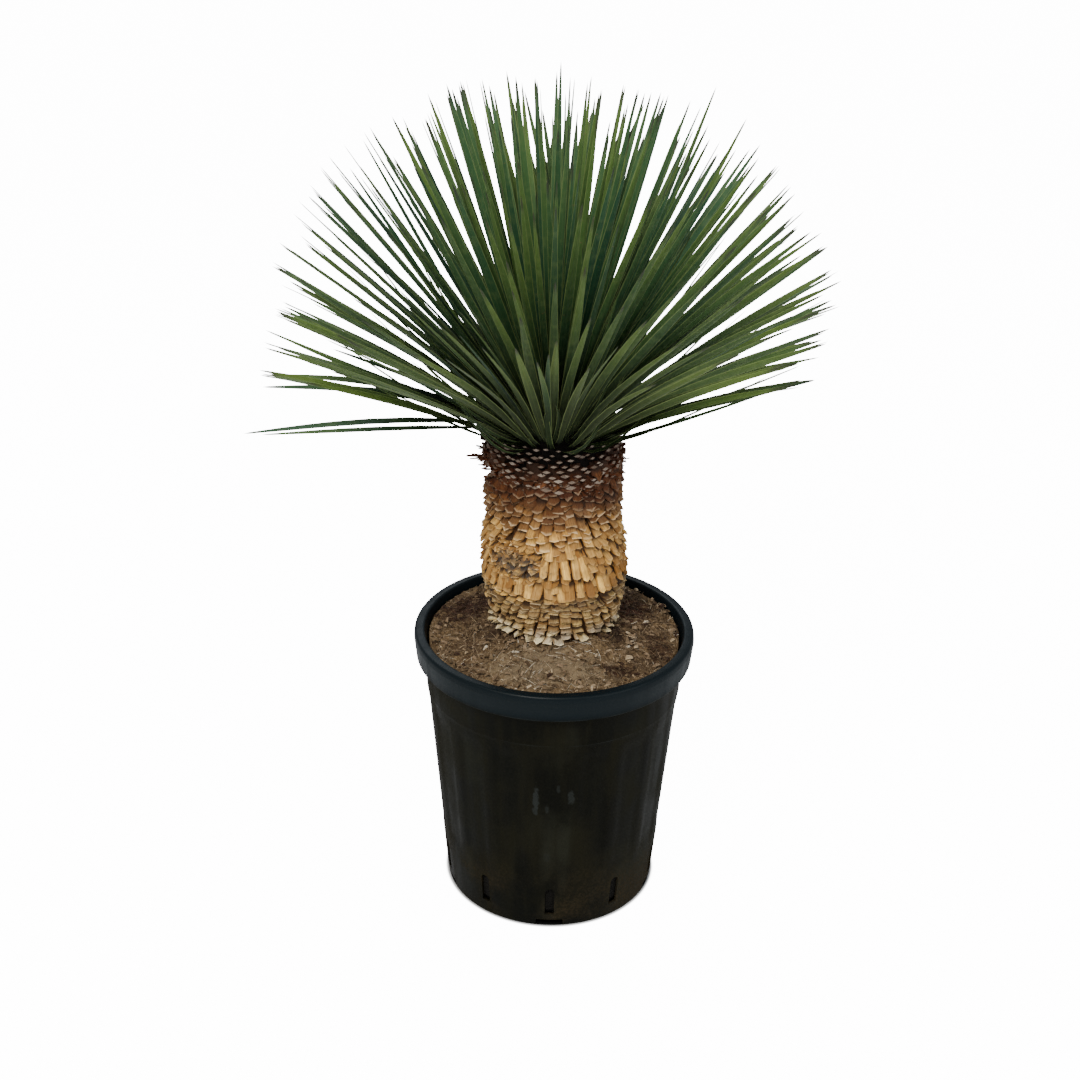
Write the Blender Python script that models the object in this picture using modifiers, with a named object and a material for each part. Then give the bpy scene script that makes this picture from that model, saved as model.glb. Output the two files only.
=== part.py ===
"""A beaked yucca in a black nursery pot, in metres, +Z up.

The origin is on the ground under the middle of the pot. The trunk, its collar of cut leaf
stubs and the three tiers of living leaves are all raised from one kind of surface: a band
of diamond cells in staggered rows, as leaf bases sit round a real stem.
"""

import math
import random

import bmesh
import bpy
from mathutils import Matrix, Vector, noise

GAP = 0.0003  # what keeps two touching pieces apart
SEAM_GAP = 0.0008  # between two round pieces whose facets don't line up

# Nursery pot
POT_HEIGHT = 0.465
RIM_RADIUS = 0.225
RIM_DEPTH = 0.0435
RIM_ROLL = 0.0165  # width of the rim's top, with its rounded inner edge
RIM_CORNER = 0.009  # height of its rounded outer edge
NECK_RADIUS = 0.2065
NECK_BOTTOM = 0.366
NECK_WALL = 0.005
FOOT_RADIUS = 0.174
FOOT_CORNER = 0.002
WALL_SLOPE = 0.084  # how fast the wall's radius grows with height
WALL = 0.004
FLOOR_TOP = 0.018
FLOOR_CORNER = 0.006
FLOOR_KNEE = 0.032  # height at which the floor's corner has become the wall
FLOOR_UNDER = 0.0135
FOOT_WIDTH = 0.011
FLUTES = 18
FLUTE_DEPTH = 0.0022
FLUTE_TOP = 0.345
FLUTE_BOTTOM = 0.105
FLUTE_FADE = 0.014  # height over which a flute runs out
POT_STEPS = 3 * FLUTES
DRAIN_SLOTS = 10
SLOT_WIDTH = 0.015
SLOT_LOW = 0.024
SLOT_HIGH = 0.070
FOOT_NOTCHES = 5
NOTCH_WIDTH = 0.044
NOTCH_HEIGHT = 0.0120
CUTTER_DEPTH = 0.040

# Potting soil
SOIL_EDGE = 0.452
SOIL_MOUND = 0.483
SOIL_SLOPE = ((0.121, 0.474), (0.147, 0.463), (0.174, 0.456))  # radius and height
SOIL_LUMP = 0.003
SOIL_GRAIN = 26.0  # lumps to a metre
SOIL_STEPS = 36
HOLE_RADIUS = 0.0885
HOLE_BRINK = 0.010
HOLE_FLOOR = 0.360

# Trunk, with the dry leaf bases that cover it
STUMP_RADIUS = 0.0865
TRUNK_BOTTOM = 0.4865
TRUNK_TOP = 0.7475
TRUNK_KNOTS = (  # height and radius under the leaf bases
    (0.480, 0.0870), (0.510, 0.0965), (0.545, 0.1035), (0.585, 0.1065), (0.625, 0.1035),
    (0.665, 0.0965), (0.700, 0.0960), (0.740, 0.0985), (0.780, 0.0990), (0.815, 0.0970),
)
LEAN = 0.026  # how far the plant leans to -X for each metre up
TRUNK_SCALES = 24  # in one row
TRUNK_ROWS = 15
SCALE_STANDS = (0.0040, 0.0075)  # least and most that a scale's lower end stands out
SCALE_ROOT = 0.0014

# Collar of freshly cut leaf stubs
COLLAR_TOP = 0.812
COLLAR_STUBS = 28
COLLAR_ROWS = 3
STUB_STANDS = (0.0085, 0.0130)

# Leaves
HEART_HEIGHT = 0.835  # the point that the leaves seem to radiate from
DOME_RADIUS = 0.100
DOME_HEIGHT = 0.085
DOME_START = math.radians(12.8)
DOME_CENTRE = COLLAR_TOP - DOME_HEIGHT * math.sin(DOME_START)
DOME_STEP = math.radians(3.75)
LOWEST_LEAF = math.radians(8.0)
FRONT_LIFT = math.radians(20.0)  # the lowest leaves were trimmed off higher up at the front
TIP_REACH = 0.420
TIP_REACH_GAIN = 0.050
TOP_REACH_GAIN = 0.020
LEAN_REACH = 0.012  # the leaves on the far side of the lean are this much longer
FRONT_REACH = 0.014  # and so are those at the front, which point higher
DROOP = 0.014  # how far the middle of a level leaf lies above its chord
LEAF_WIDTH = 0.0125
LEAF_THICKNESS = 0.0018
NECK_WIDTH = 0.0085
NECK_THICKNESS = 0.0032
NECK_AT = 0.012
WIDEST_AT = 0.42  # share of a leaf's length
TIERS = (  # name, rows, leaves in one row
    ("outer_leaves", 5, 36),
    ("middle_leaves", 5, 28),
    ("heart_leaves", 5, 15),
)
SPEAR_LENGTH = 0.30
LEAF_SEED = 41


def clear_scene():
    for thing in list(bpy.data.objects):
        bpy.data.objects.remove(thing)


def new_collection(name):
    collection = bpy.data.collections.new(name)
    bpy.context.scene.collection.children.link(collection)
    return collection


def material(name, colour, roughness):
    made = bpy.data.materials.new(name)
    made.use_nodes = True
    shader = made.node_tree.nodes["Principled BSDF"]
    shader.inputs["Base Color"].default_value = (*colour, 1.0)
    shader.inputs["Roughness"].default_value = roughness
    shader.inputs["Metallic"].default_value = 0.0
    return made


def add_object(name, bm, collection, finish=None):
    mesh = bpy.data.meshes.new(name)
    bm.to_mesh(mesh)
    bm.free()
    made = bpy.data.objects.new(name, mesh)
    collection.objects.link(made)
    if finish:
        mesh.materials.append(finish)
    return made


def turned(name, outline, steps, collection, finish):
    """A solid of revolution. The outline runs from the axis out, up, over and down the outer side."""
    profile = bmesh.new()
    points = [profile.verts.new((radius, 0.0, height)) for radius, height in outline]
    for low, high in zip(points, points[1:]):
        profile.edges.new((low, high))
    made = add_object(name, profile, collection, finish)
    screw = made.modifiers.new("Turn", "SCREW")
    screw.steps = steps
    screw.render_steps = steps
    screw.use_merge_vertices = True
    screw.merge_threshold = 0.00001
    screw.use_smooth_shade = False
    return made


def made_mesh(thing):
    """Replaces the object's mesh by the one that its modifiers make."""
    graph = bpy.context.evaluated_depsgraph_get()
    solid = bpy.data.meshes.new_from_object(thing.evaluated_get(graph))
    thing.modifiers.clear()
    thing.data = solid


# Pot


def wall_radius(height):
    return FOOT_RADIUS + WALL_SLOPE * height


def pot_outline():
    rim_bottom = POT_HEIGHT - RIM_DEPTH
    foot_inside = FOOT_RADIUS - FOOT_WIDTH
    inside = [
        (0.0, FLOOR_TOP),
        (wall_radius(FLOOR_TOP) - WALL - FLOOR_CORNER, FLOOR_TOP),
        (wall_radius(FLOOR_KNEE) - WALL, FLOOR_KNEE),
        (wall_radius(FLUTE_TOP) - WALL, FLUTE_TOP),
        (NECK_RADIUS - NECK_WALL, NECK_BOTTOM + WALL),
        (NECK_RADIUS - NECK_WALL + WALL, POT_HEIGHT - RIM_CORNER - WALL),
    ]
    rim = [
        (RIM_RADIUS - RIM_ROLL, POT_HEIGHT),
        (RIM_RADIUS - 0.4 * RIM_ROLL, POT_HEIGHT),
        (RIM_RADIUS, POT_HEIGHT - RIM_CORNER),
        (RIM_RADIUS - 0.2 * RIM_ROLL, rim_bottom),
        (NECK_RADIUS, rim_bottom - NECK_WALL),
    ]
    outside = [
        (NECK_RADIUS - 0.2 * NECK_WALL, NECK_BOTTOM),
        (wall_radius(FLUTE_TOP + FLUTE_FADE), FLUTE_TOP + FLUTE_FADE),
        (wall_radius(FLUTE_TOP), FLUTE_TOP),
        (wall_radius(FLUTE_BOTTOM), FLUTE_BOTTOM),
        (wall_radius(FLUTE_BOTTOM - FLUTE_FADE), FLUTE_BOTTOM - FLUTE_FADE),
        (wall_radius(NOTCH_HEIGHT), NOTCH_HEIGHT),
        (FOOT_RADIUS - FOOT_CORNER, 0.0),
    ]
    under = [(foot_inside, 0.0), (foot_inside - 0.001, FLOOR_UNDER), (0.0, FLOOR_UNDER)]
    return inside + rim + outside + under


def press_flutes(pot):
    """Two of every three columns of the wall lie back, which leaves narrow ribs between flat flutes."""
    tolerance = 0.0002
    for vertex in pot.data.vertices:
        radius = math.hypot(vertex.co.x, vertex.co.y)
        column = round(math.atan2(vertex.co.y, vertex.co.x) / math.tau * POT_STEPS)
        on_wall = abs(radius - wall_radius(vertex.co.z)) < tolerance
        in_flute = FLUTE_BOTTOM - tolerance < vertex.co.z < FLUTE_TOP + tolerance
        if on_wall and in_flute and column % 3:
            vertex.co.xy *= 1.0 - FLUTE_DEPTH / radius


def cutter(mesh_maker, name, collection, place, **size):
    bm = bmesh.new()
    mesh_maker(bm, **size)
    made = add_object(name, bm, collection)
    made.data.transform(place)
    made.hide_render = True
    made.display_type = "WIRE"


def front_turn(index, count):
    """Turns what lies along +X to one of count even places, the first at the front."""
    return Matrix.Rotation(math.tau * index / count - math.pi / 2, 4, "Z")


def add_drain_cutters(collection):
    """Upright slots with round heads through the wall, and notches under the foot."""
    slot_middle = (SLOT_LOW + SLOT_HIGH) / 2
    head_radius = 0.498 * SLOT_WIDTH
    lie = Matrix.Rotation(math.pi / 2, 4, "Y")
    slot_size = Matrix.Diagonal((CUTTER_DEPTH, SLOT_WIDTH, SLOT_HIGH - SLOT_LOW, 1.0))
    for index in range(DRAIN_SLOTS):
        turn = front_turn(index, DRAIN_SLOTS)
        place = turn @ Matrix.Translation((wall_radius(slot_middle), 0.0, slot_middle)) @ slot_size
        cutter(bmesh.ops.create_cube, f"slot_{index}", collection, place, size=1.0)
        place = turn @ Matrix.Translation((wall_radius(slot_middle), 0.0, SLOT_HIGH)) @ lie
        cutter(
            bmesh.ops.create_cone, f"slot_head_{index}", collection, place, cap_ends=True, segments=10,
            radius1=head_radius, radius2=head_radius, depth=1.02 * CUTTER_DEPTH,
        )
    notch_size = Matrix.Diagonal((CUTTER_DEPTH, NOTCH_WIDTH, 2 * NOTCH_HEIGHT, 1.0))
    for index in range(FOOT_NOTCHES):
        turn = front_turn(index, FOOT_NOTCHES)
        place = turn @ Matrix.Translation((FOOT_RADIUS - FOOT_WIDTH / 2, 0.0, 0.0)) @ notch_size
        cutter(bmesh.ops.create_cube, f"notch_{index}", collection, place, size=1.0)


def add_pot(collection, cutters):
    plastic = material("black_plastic", (0.018, 0.020, 0.020), 0.5)
    pot = turned("nursery_pot", pot_outline(), POT_STEPS, collection, plastic)
    made_mesh(pot)
    press_flutes(pot)
    add_drain_cutters(cutters)
    cut = pot.modifiers.new("Drains", "BOOLEAN")
    cut.operation = "DIFFERENCE"
    cut.solver = "EXACT"
    cut.operand_type = "COLLECTION"
    cut.collection = cutters
    cut.use_self = True


# Soil


def soil_outline():
    """It follows the pot's inside, a seam's width smaller."""
    neck = NECK_RADIUS - NECK_WALL - SEAM_GAP
    brink = HOLE_RADIUS + HOLE_BRINK
    top = [
        (0.0, HOLE_FLOOR),
        (HOLE_RADIUS, HOLE_FLOOR),
        (HOLE_RADIUS, SOIL_MOUND - 0.3 * HOLE_BRINK),
        (brink, SOIL_MOUND),
        *SOIL_SLOPE,
        (neck, SOIL_EDGE),
    ]
    sides = [
        (neck, NECK_BOTTOM + WALL),
        (wall_radius(FLUTE_TOP) - WALL - SEAM_GAP, FLUTE_TOP - SEAM_GAP),
        (wall_radius(FLOOR_KNEE) - WALL - SEAM_GAP, FLOOR_KNEE),
        (wall_radius(FLOOR_TOP) - WALL - FLOOR_CORNER - SEAM_GAP, FLOOR_TOP + GAP),
        (0.0, FLOOR_TOP + GAP),
    ]
    return top + sides


def add_soil(collection):
    """The soil fills the pot, is mounded round the trunk, and holds the stump in a plain hole."""
    brown = material("potting_soil", (0.115, 0.076, 0.045), 0.95)
    soil = turned("potting_soil", soil_outline(), SOIL_STEPS, collection, brown)
    made_mesh(soil)
    for vertex in soil.data.vertices:
        beyond_hole = math.hypot(vertex.co.x, vertex.co.y) - HOLE_RADIUS
        if vertex.co.z > SOIL_EDGE - GAP and beyond_hole > 0.5 * HOLE_BRINK:
            calm = 0.35 if beyond_hole < 1.5 * HOLE_BRINK else 1.0
            vertex.co.z += SOIL_LUMP * calm * noise.noise(vertex.co * SOIL_GRAIN)


# Bands of staggered cells


def cell_band(bm, levels, count, shelf=()):
    """A capped tube of diamond cells in staggered rows, and its cells row by row.

    Each level is a (radius, height), bottom first, and the first and last only bound the cells.
    The shelf's levels close the tube further down. A cell comes as (face, row, azimuth), and
    the half cells at both ends are the first and the last row.
    """

    def ring(level, shift):
        radius, height = level
        angles = [math.tau * (index + shift) / count for index in range(count)]
        return [bm.verts.new((radius * math.cos(a), radius * math.sin(a), height)) for a in angles]

    rings = [ring(level, 0.5 * ((number + 1) % 2)) for number, level in enumerate(levels)]

    def azimuth(number, index):
        return math.tau * (index + 0.5 * (1 + (number + 1) % 2)) / count

    cells = []
    for index in range(count):
        after = (index + 1) % count
        face = bm.faces.new((rings[0][index], rings[0][after], rings[1][after]))
        cells.append((face, 0, azimuth(0, index)))
    for number in range(1, len(rings) - 1):
        below, here, above = rings[number - 1], rings[number], rings[number + 1]
        for index in range(count):
            after = (index + 1) % count
            middle = index if number % 2 else after
            face = bm.faces.new((below[middle], here[after], above[middle], here[index]))
            cells.append((face, number, azimuth(number, index)))
    last = len(rings) - 1
    top, under_top = rings[-1], rings[-2]
    for index in range(count):
        after = (index + 1) % count
        middle = index if last % 2 else after
        face = bm.faces.new((under_top[middle], top[after], top[index]))
        cells.append((face, last, azimuth(last, index)))
    bm.faces.new(top)
    lower = rings[0]
    for level in shelf:
        next_lower = ring(level, 0.5)
        for index in range(count):
            after = (index + 1) % count
            bm.faces.new((next_lower[index], next_lower[after], lower[after], lower[index]))
        lower = next_lower
    bm.faces.new(lower[::-1])
    return cells


def drawn_out(bm, face):
    """Extrudes one face and gives back the new face, whose corners keep their order."""
    return bmesh.ops.extrude_discrete_faces(bm, faces=[face])["faces"][0]


def raise_cells(bm, cells, shape):
    """Extrudes every cell and moves the corners of the raised face.

    shape() draws one cell and gives back a function of a corner's height in the cell, from -1
    to 1: how far the corner stays from the cell's middle, sideways and up, as shares, how far
    it drops, as a share of half the cell's height, and how far it stands out.
    """
    for face, _, azimuth in cells:
        outwards = Vector((math.cos(azimuth), math.sin(azimuth), 0.0))
        heights = [vertex.co.z for vertex in face.verts]
        middle = face.calc_center_median()
        middle.z = (min(heights) + max(heights)) / 2
        half_height = (max(heights) - min(heights)) / 2
        place = shape()
        for vertex in drawn_out(bm, face).verts:
            offset = vertex.co - middle
            wide, tall, drop, out = place(min(max(offset.z / half_height, -1.0), 1.0))
            offset.xy *= wide
            offset.z = offset.z * tall - drop * half_height
            vertex.co = middle + offset + out * outwards


def add_leaning(name, bm, collection, finish):
    for vertex in bm.verts:
        vertex.co.x -= LEAN * max(0.0, vertex.co.z - TRUNK_BOTTOM)
    add_object(name, bm, collection, finish)


# Trunk


def trunk_radius(height):
    """The smooth curve through the trunk's knots."""
    heights = [knot[0] for knot in TRUNK_KNOTS]
    last = len(heights) - 2
    index = min(max(sum(height >= level for level in heights) - 1, 0), last)
    low, high = TRUNK_KNOTS[index], TRUNK_KNOTS[index + 1]
    before = TRUNK_KNOTS[max(index - 1, 0)]
    after = TRUNK_KNOTS[min(index + 2, last + 1)]
    span = high[0] - low[0]
    slope_low = (high[1] - before[1]) / (high[0] - before[0]) * span
    slope_high = (after[1] - low[1]) / (after[0] - low[0]) * span
    t = min(max((height - low[0]) / span, 0.0), 1.0)
    blend = t * t * (3 - 2 * t)
    bend = t * (1 - t) * ((1 - t) * slope_low - t * slope_high)
    return low[1] + blend * (high[1] - low[1]) + bend


def even_levels(bottom, top, rows):
    step = (top - bottom) / (rows + 1)
    return [(trunk_radius(bottom + step * n), bottom + step * n) for n in range(rows + 2)]


def add_trunk(collection):
    """The stem stands in its hole on a plain stump, and its dry leaf bases lap like shingles."""
    straw = material("dry_leaf_bases", (0.37, 0.22, 0.10), 0.85)
    draw = random.Random(7)
    levels = even_levels(TRUNK_BOTTOM, TRUNK_TOP - GAP, TRUNK_ROWS)
    stump = ((STUMP_RADIUS, SOIL_MOUND), (STUMP_RADIUS, HOLE_FLOOR + GAP))
    bm = bmesh.new()
    cells = cell_band(bm, levels, TRUNK_SCALES, stump)

    def lapped():
        stand = draw.uniform(*SCALE_STANDS)
        drop = draw.uniform(0.20, 0.36)

        def place(up):
            rise = 1.0 - ((1.0 + up) / 2.0) ** 2.5
            return 0.84, 0.88, drop * max(0.0, 1.0 - up * up), SCALE_ROOT + stand * rise

        return place

    raise_cells(bm, cells, lapped)
    add_leaning("trunk", bm, collection, straw)


def add_collar(collection):
    """The stubs of the leaves cut last stand straight out, each ending in a pale cut face."""
    brown = material("cut_leaf_stubs", (0.09, 0.05, 0.03), 0.8)
    draw = random.Random(11)
    levels = even_levels(TRUNK_TOP, COLLAR_TOP - GAP, COLLAR_ROWS)
    bm = bmesh.new()
    cells = cell_band(bm, levels, COLLAR_STUBS)

    def stub():
        stand = draw.uniform(*STUB_STANDS)
        slant = draw.uniform(-0.0015, 0.0015)

        def place(up):
            return 0.52, 0.40, 0.15 * (1.0 - abs(up)), stand + slant * up

        return place

    raise_cells(bm, cells, stub)
    add_leaning("cut_stub_collar", bm, collection, brown)


# Leaves


def dome_level(angle, lift=0.0):
    return (DOME_RADIUS * math.cos(angle), DOME_CENTRE + DOME_HEIGHT * math.sin(angle) + lift)


def leaf_aim(azimuth, angle, draw):
    """Where a leaf points: its azimuth and elevation, how far its tip reaches and how it arches."""
    full = math.radians(90.0)
    height_share = (angle - DOME_START) / (full - DOME_START)
    elevation = LOWEST_LEAF + (full - LOWEST_LEAF) * height_share
    front = max(0.0, -math.sin(azimuth)) ** 2
    elevation += FRONT_LIFT * front * (1.0 - height_share) ** 2
    place = Vector((math.cos(azimuth), math.sin(azimuth), 1.6 * angle)) * 2.3
    bunch_strength = math.radians(3.0) * min(1.0, math.cos(elevation) * 2.0)
    azimuth += bunch_strength * noise.noise(place) / max(math.cos(elevation), 0.35)
    elevation += 0.7 * bunch_strength * noise.noise(place + Vector((0.0, 0.0, 9.0)))
    azimuth += math.radians(draw.uniform(-0.8, 0.8))
    elevation += math.radians(draw.uniform(-1.0, 1.0))
    reach = TIP_REACH + TIP_REACH_GAIN * draw.random() + TOP_REACH_GAIN * math.sin(elevation)
    reach += (LEAN_REACH * math.cos(azimuth) - FRONT_REACH * math.sin(azimuth)) * math.cos(elevation)
    arch = DROOP * draw.uniform(0.4, 1.4) * math.cos(elevation) ** 2
    return azimuth, elevation, reach, arch


def leaf_axes(azimuth, elevation):
    along = Vector((
        math.cos(elevation) * math.cos(azimuth), math.cos(elevation) * math.sin(azimuth),
        math.sin(elevation),
    ))
    side = Vector((-math.sin(azimuth), math.cos(azimuth), 0.0))
    return along, side, along.cross(side)


def grow_leaf(bm, face, aim):
    """Draws a cell out into a neck, a widest place and a point."""
    azimuth, elevation, reach, arch = aim
    along, side, above = leaf_axes(azimuth, elevation)
    root = face.calc_center_median()
    tip = Vector((0.0, 0.0, HEART_HEIGHT - 1.5 * arch)) + reach * along
    room = 0.52 * math.hypot(root.x, root.y)
    sections = (  # share of the length, width, thickness, how much of the arch it takes
        (NECK_AT / (tip - root).length, min(NECK_WIDTH, room), NECK_THICKNESS, 0.24),
        (WIDEST_AT, LEAF_WIDTH, LEAF_THICKNESS, 1.0),
    )
    for share, width, thickness, bend in sections:
        face = drawn_out(bm, face)
        middle = root.lerp(tip, share) + Vector((0.0, 0.0, bend * arch))
        across, through = width / 2 * side, thickness / 2 * above
        for vertex, offset in zip(face.verts, (-through, across, through, -across)):
            vertex.co = middle + offset
    bmesh.ops.poke(bm, faces=[face])["verts"][0].co = tip


def add_spear(bm, crown_face):
    """The furled youngest leaves, in one spear at the very top."""
    middle = crown_face.calc_center_median()
    neck = drawn_out(bm, crown_face)
    for vertex in neck.verts:
        vertex.co = middle + 0.62 * (vertex.co - middle) + Vector((0.0, 0.0, 0.12 * SPEAR_LENGTH))
    bmesh.ops.poke(bm, faces=[neck])["verts"][0].co = middle + Vector((0.0, 0.0, SPEAR_LENGTH))


def add_leaf_tiers(collection):
    greens = ((0.085, 0.120, 0.045), (0.055, 0.095, 0.045), (0.100, 0.140, 0.055))
    draw = random.Random(LEAF_SEED)
    start = DOME_START
    for number, ((name, rows, count), green) in enumerate(zip(TIERS, greens)):
        angles = [start + DOME_STEP * n for n in range(rows + 2)]
        levels = [dome_level(angle) for angle in angles]
        levels[0] = dome_level(angles[0], GAP if number else 0.0)
        bm = bmesh.new()
        cells = cell_band(bm, levels, count)
        if number == len(TIERS) - 1:
            top = max(bm.faces, key=lambda face: face.calc_center_median().z)
            add_spear(bm, top)
        for face, row, azimuth in cells:
            if 0 < row <= rows:
                grow_leaf(bm, face, leaf_aim(azimuth, angles[row], draw))
        add_leaning(name, bm, collection, material(name, green, 0.55))
        start = angles[-1]


def main():
    clear_scene()
    plant = new_collection("potted_beaked_yucca")
    cutters = new_collection("drain_cutters")
    add_pot(plant, cutters)
    add_soil(plant)
    add_trunk(plant)
    add_collar(plant)
    add_leaf_tiers(plant)


main()
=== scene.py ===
"""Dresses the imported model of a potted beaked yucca: pot, soil, trunk, cut stubs and leaves."""

import math
import random
from dataclasses import dataclass

import bmesh
import bpy
import numpy as np
from mathutils import Euler, Matrix, Vector, noise


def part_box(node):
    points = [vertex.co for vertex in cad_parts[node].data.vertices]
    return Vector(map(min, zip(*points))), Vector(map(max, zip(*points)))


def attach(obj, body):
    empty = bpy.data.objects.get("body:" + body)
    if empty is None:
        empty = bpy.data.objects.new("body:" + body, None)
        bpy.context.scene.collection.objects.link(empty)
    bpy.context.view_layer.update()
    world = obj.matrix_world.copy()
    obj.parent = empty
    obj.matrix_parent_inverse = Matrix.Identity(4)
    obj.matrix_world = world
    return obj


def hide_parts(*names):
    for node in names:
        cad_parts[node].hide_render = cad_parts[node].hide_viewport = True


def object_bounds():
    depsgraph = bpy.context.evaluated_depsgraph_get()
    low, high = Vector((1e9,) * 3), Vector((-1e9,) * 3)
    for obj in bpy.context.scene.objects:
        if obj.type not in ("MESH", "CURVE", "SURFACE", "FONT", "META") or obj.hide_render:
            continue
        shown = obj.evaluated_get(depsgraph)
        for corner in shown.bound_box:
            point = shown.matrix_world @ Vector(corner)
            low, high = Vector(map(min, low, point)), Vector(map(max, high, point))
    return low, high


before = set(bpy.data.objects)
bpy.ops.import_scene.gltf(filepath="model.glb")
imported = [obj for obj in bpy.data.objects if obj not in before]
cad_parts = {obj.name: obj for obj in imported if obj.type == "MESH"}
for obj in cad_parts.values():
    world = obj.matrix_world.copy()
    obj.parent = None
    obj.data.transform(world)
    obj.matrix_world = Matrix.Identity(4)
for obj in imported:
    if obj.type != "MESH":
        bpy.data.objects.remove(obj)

bl_info = {
    "name": "Potted beaked yucca",
    "version": (1, 0, 0),
    "blender": (4, 5, 0),
    "location": "3D View > Sidebar > Yucca",
    "description": "Models the plant's leaves, trunk, soil and pot round its packed solids",
    "category": "Object",
}

CAD_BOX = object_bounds()
FRONT = -math.pi / 2  # the azimuth that faces the camera

# Pot, as its solid is
POT_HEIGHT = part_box("nursery_pot")[1][2]
RIM_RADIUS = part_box("nursery_pot")[1][0]
RIM_DEPTH = 0.0435
RIM_ROLL = 0.0165
RIM_CORNER = 0.009
NECK_RADIUS = 0.2065
NECK_BOTTOM = 0.366
NECK_WALL = 0.005
FOOT_RADIUS = 0.174
WALL_SLOPE = 0.084
WALL = 0.004
FLOOR_TOP = 0.018
FLOOR_CORNER = 0.006
FLOOR_KNEE = 0.032
FLOOR_UNDER = 0.0135
FOOT_WIDTH = 0.011
FLUTES = 18
FLUTE_TOP = 0.345
FLUTE_BOTTOM = 0.105
FLUTE_FADE = 0.014
RIB_HALF = 0.10  # shares of a flute
SHOULDER = 0.14
FADE_STEPS = 6
FLOOR_HUB = 0.060
POT_STEPS = 12 * FLUTES
DRAIN_SLOTS = 10
SLOT_WIDTH = 0.015
SLOT_LOW = 0.024
SLOT_HIGH = 0.070
FOOT_NOTCHES = 5
NOTCH_WIDTH = 0.044
NOTCH_HEIGHT = 0.012
CUTTER_DEPTH = 0.040

# Soil, as its solid is
SEAM_GAP = 0.0008
SOIL_EDGE = 0.2007
SOIL_LEVELS = (  # radius and height of its top
    (0.0865, 0.4842), (0.0985, 0.483), (0.121, 0.474), (0.147, 0.463), (0.174, 0.456), (SOIL_EDGE, 0.452),
)
SOIL_RADII, SOIL_HEIGHTS = zip(*SOIL_LEVELS)
SOIL_LUMP = 0.004
SOIL_GRAIN = 26.0
SOIL_TRUNK = 0.088  # the soil's lumps are calm from here on inwards
SOIL_STEPS = 300
SOIL_RINGS = 84

# Trunk, as its solid is
STUMP_RADIUS = 0.0865
STUMP_BOTTOM = 0.3603
TRUNK_BOTTOM = 0.4865
TRUNK_MEAN = 0.103
TRUNK_KNOTS = (
    (0.480, 0.0870), (0.510, 0.0965), (0.545, 0.1035), (0.585, 0.1065), (0.625, 0.1035),
    (0.665, 0.0965), (0.700, 0.0960), (0.740, 0.0985), (0.780, 0.0990), (0.815, 0.0970),
)
LEAN = 0.026
COLLAR_BOTTOM = 0.7475
COLLAR_TOP = 0.812

# Leaves, by the rule that their solids follow
HEART_HEIGHT = 0.835
DOME_RADIUS = 0.100
DOME_HEIGHT = 0.085
DOME_START = math.radians(12.8)
DOME_CENTRE = COLLAR_TOP - DOME_HEIGHT * math.sin(DOME_START)
DOME_STEP = math.radians(3.75)
LOWEST_LEAF = math.radians(8.0)
FRONT_LIFT = math.radians(20.0)
TIP_REACH = 0.420
TIP_REACH_GAIN = 0.050
TOP_REACH_GAIN = 0.020
LEAN_REACH = 0.012
FRONT_REACH = 0.014
DROOP = 0.014
BUNCHING = math.radians(3.0)
TIER_ROWS = 5
TIERS = (  # node, piece, slot, colour in the settings, leaves in a row, and share of the thin leaves
    ("outer_leaves", "old_blades", "old_leaves", "grown", 36, 0.42),
    ("middle_leaves", "grown_blades", "grown_leaves", "grown", 28, 0.38),
    ("heart_leaves", "young_blades", "young_leaves", "young", 15, 0.20),
)
SPEAR_LENGTH = 0.30
SOLID_SEED = 41
LEAF_SEED = 73
LEAF_COPY_SEED = 3

# Camera
EYE = Vector((-0.0252, -2.3, 1.7373))
EYE_PITCH = 0.4535
EYE_ROLL = 0.0168
LENS = 54.413
SENSOR = 36.0


# Settings


LENGTH = {"min": 0.0, "subtype": "DISTANCE", "unit": "LENGTH"}


def colour_setting(name, description, default):
    return bpy.props.FloatVectorProperty(
        name=name, description=description, default=default, min=0.0, max=1.0, subtype="COLOR",
    )


class PotLook(bpy.types.PropertyGroup):
    flute_depth: bpy.props.FloatProperty(
        name="Flute depth", description="How far the flat flutes lie back behind the ribs",
        default=0.0022, max=0.004, **LENGTH,
    )
    plastic: colour_setting("Plastic", "Colour of the clean plastic", (0.0015, 0.0015, 0.0009))
    dust: colour_setting(
        "Dust", "Colour of the dried splashes of soil low on the wall", (0.030, 0.022, 0.012),
    )
    roughness: bpy.props.FloatProperty(
        name="Roughness", description="Roughness of the clean plastic",
        default=0.50, min=0.0, max=1.0, subtype="FACTOR",
    )


class SoilLook(bpy.types.PropertyGroup):
    chips: bpy.props.IntProperty(
        name="Chips", description="Number of crumbs and bits of bark that lie on the soil",
        default=1300, min=0,
    )
    straws: bpy.props.IntProperty(
        name="Straws", description="Number of fibres that lie on the soil", default=2400, min=0,
    )
    peat: colour_setting("Peat", "Colour of the dry soil", (0.175, 0.115, 0.058))
    damp: colour_setting("Damp peat", "Colour of the dark patches", (0.030, 0.016, 0.010))
    chaff: colour_setting("Chaff", "Colour of the palest fibres", (0.44, 0.33, 0.20))


class TrunkLook(bpy.types.PropertyGroup):
    stand: bpy.props.FloatProperty(
        name="Stand", description="How far the lower end of a leaf base stands out at most",
        default=0.0078, max=0.012, **LENGTH,
    )
    base: colour_setting("Base", "Colour of the oldest leaf bases, at the foot", (0.500, 0.345, 0.150))
    straw: colour_setting("Straw", "Colour of the long leaf bases above the foot", (0.800, 0.500, 0.165))
    tan: colour_setting("Tan", "Colour of the middle of the trunk", (0.420, 0.232, 0.082))
    russet: colour_setting(
        "Russet", "Colour of the youngest leaf bases, under the cut stubs", (0.135, 0.047, 0.014),
    )


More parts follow.
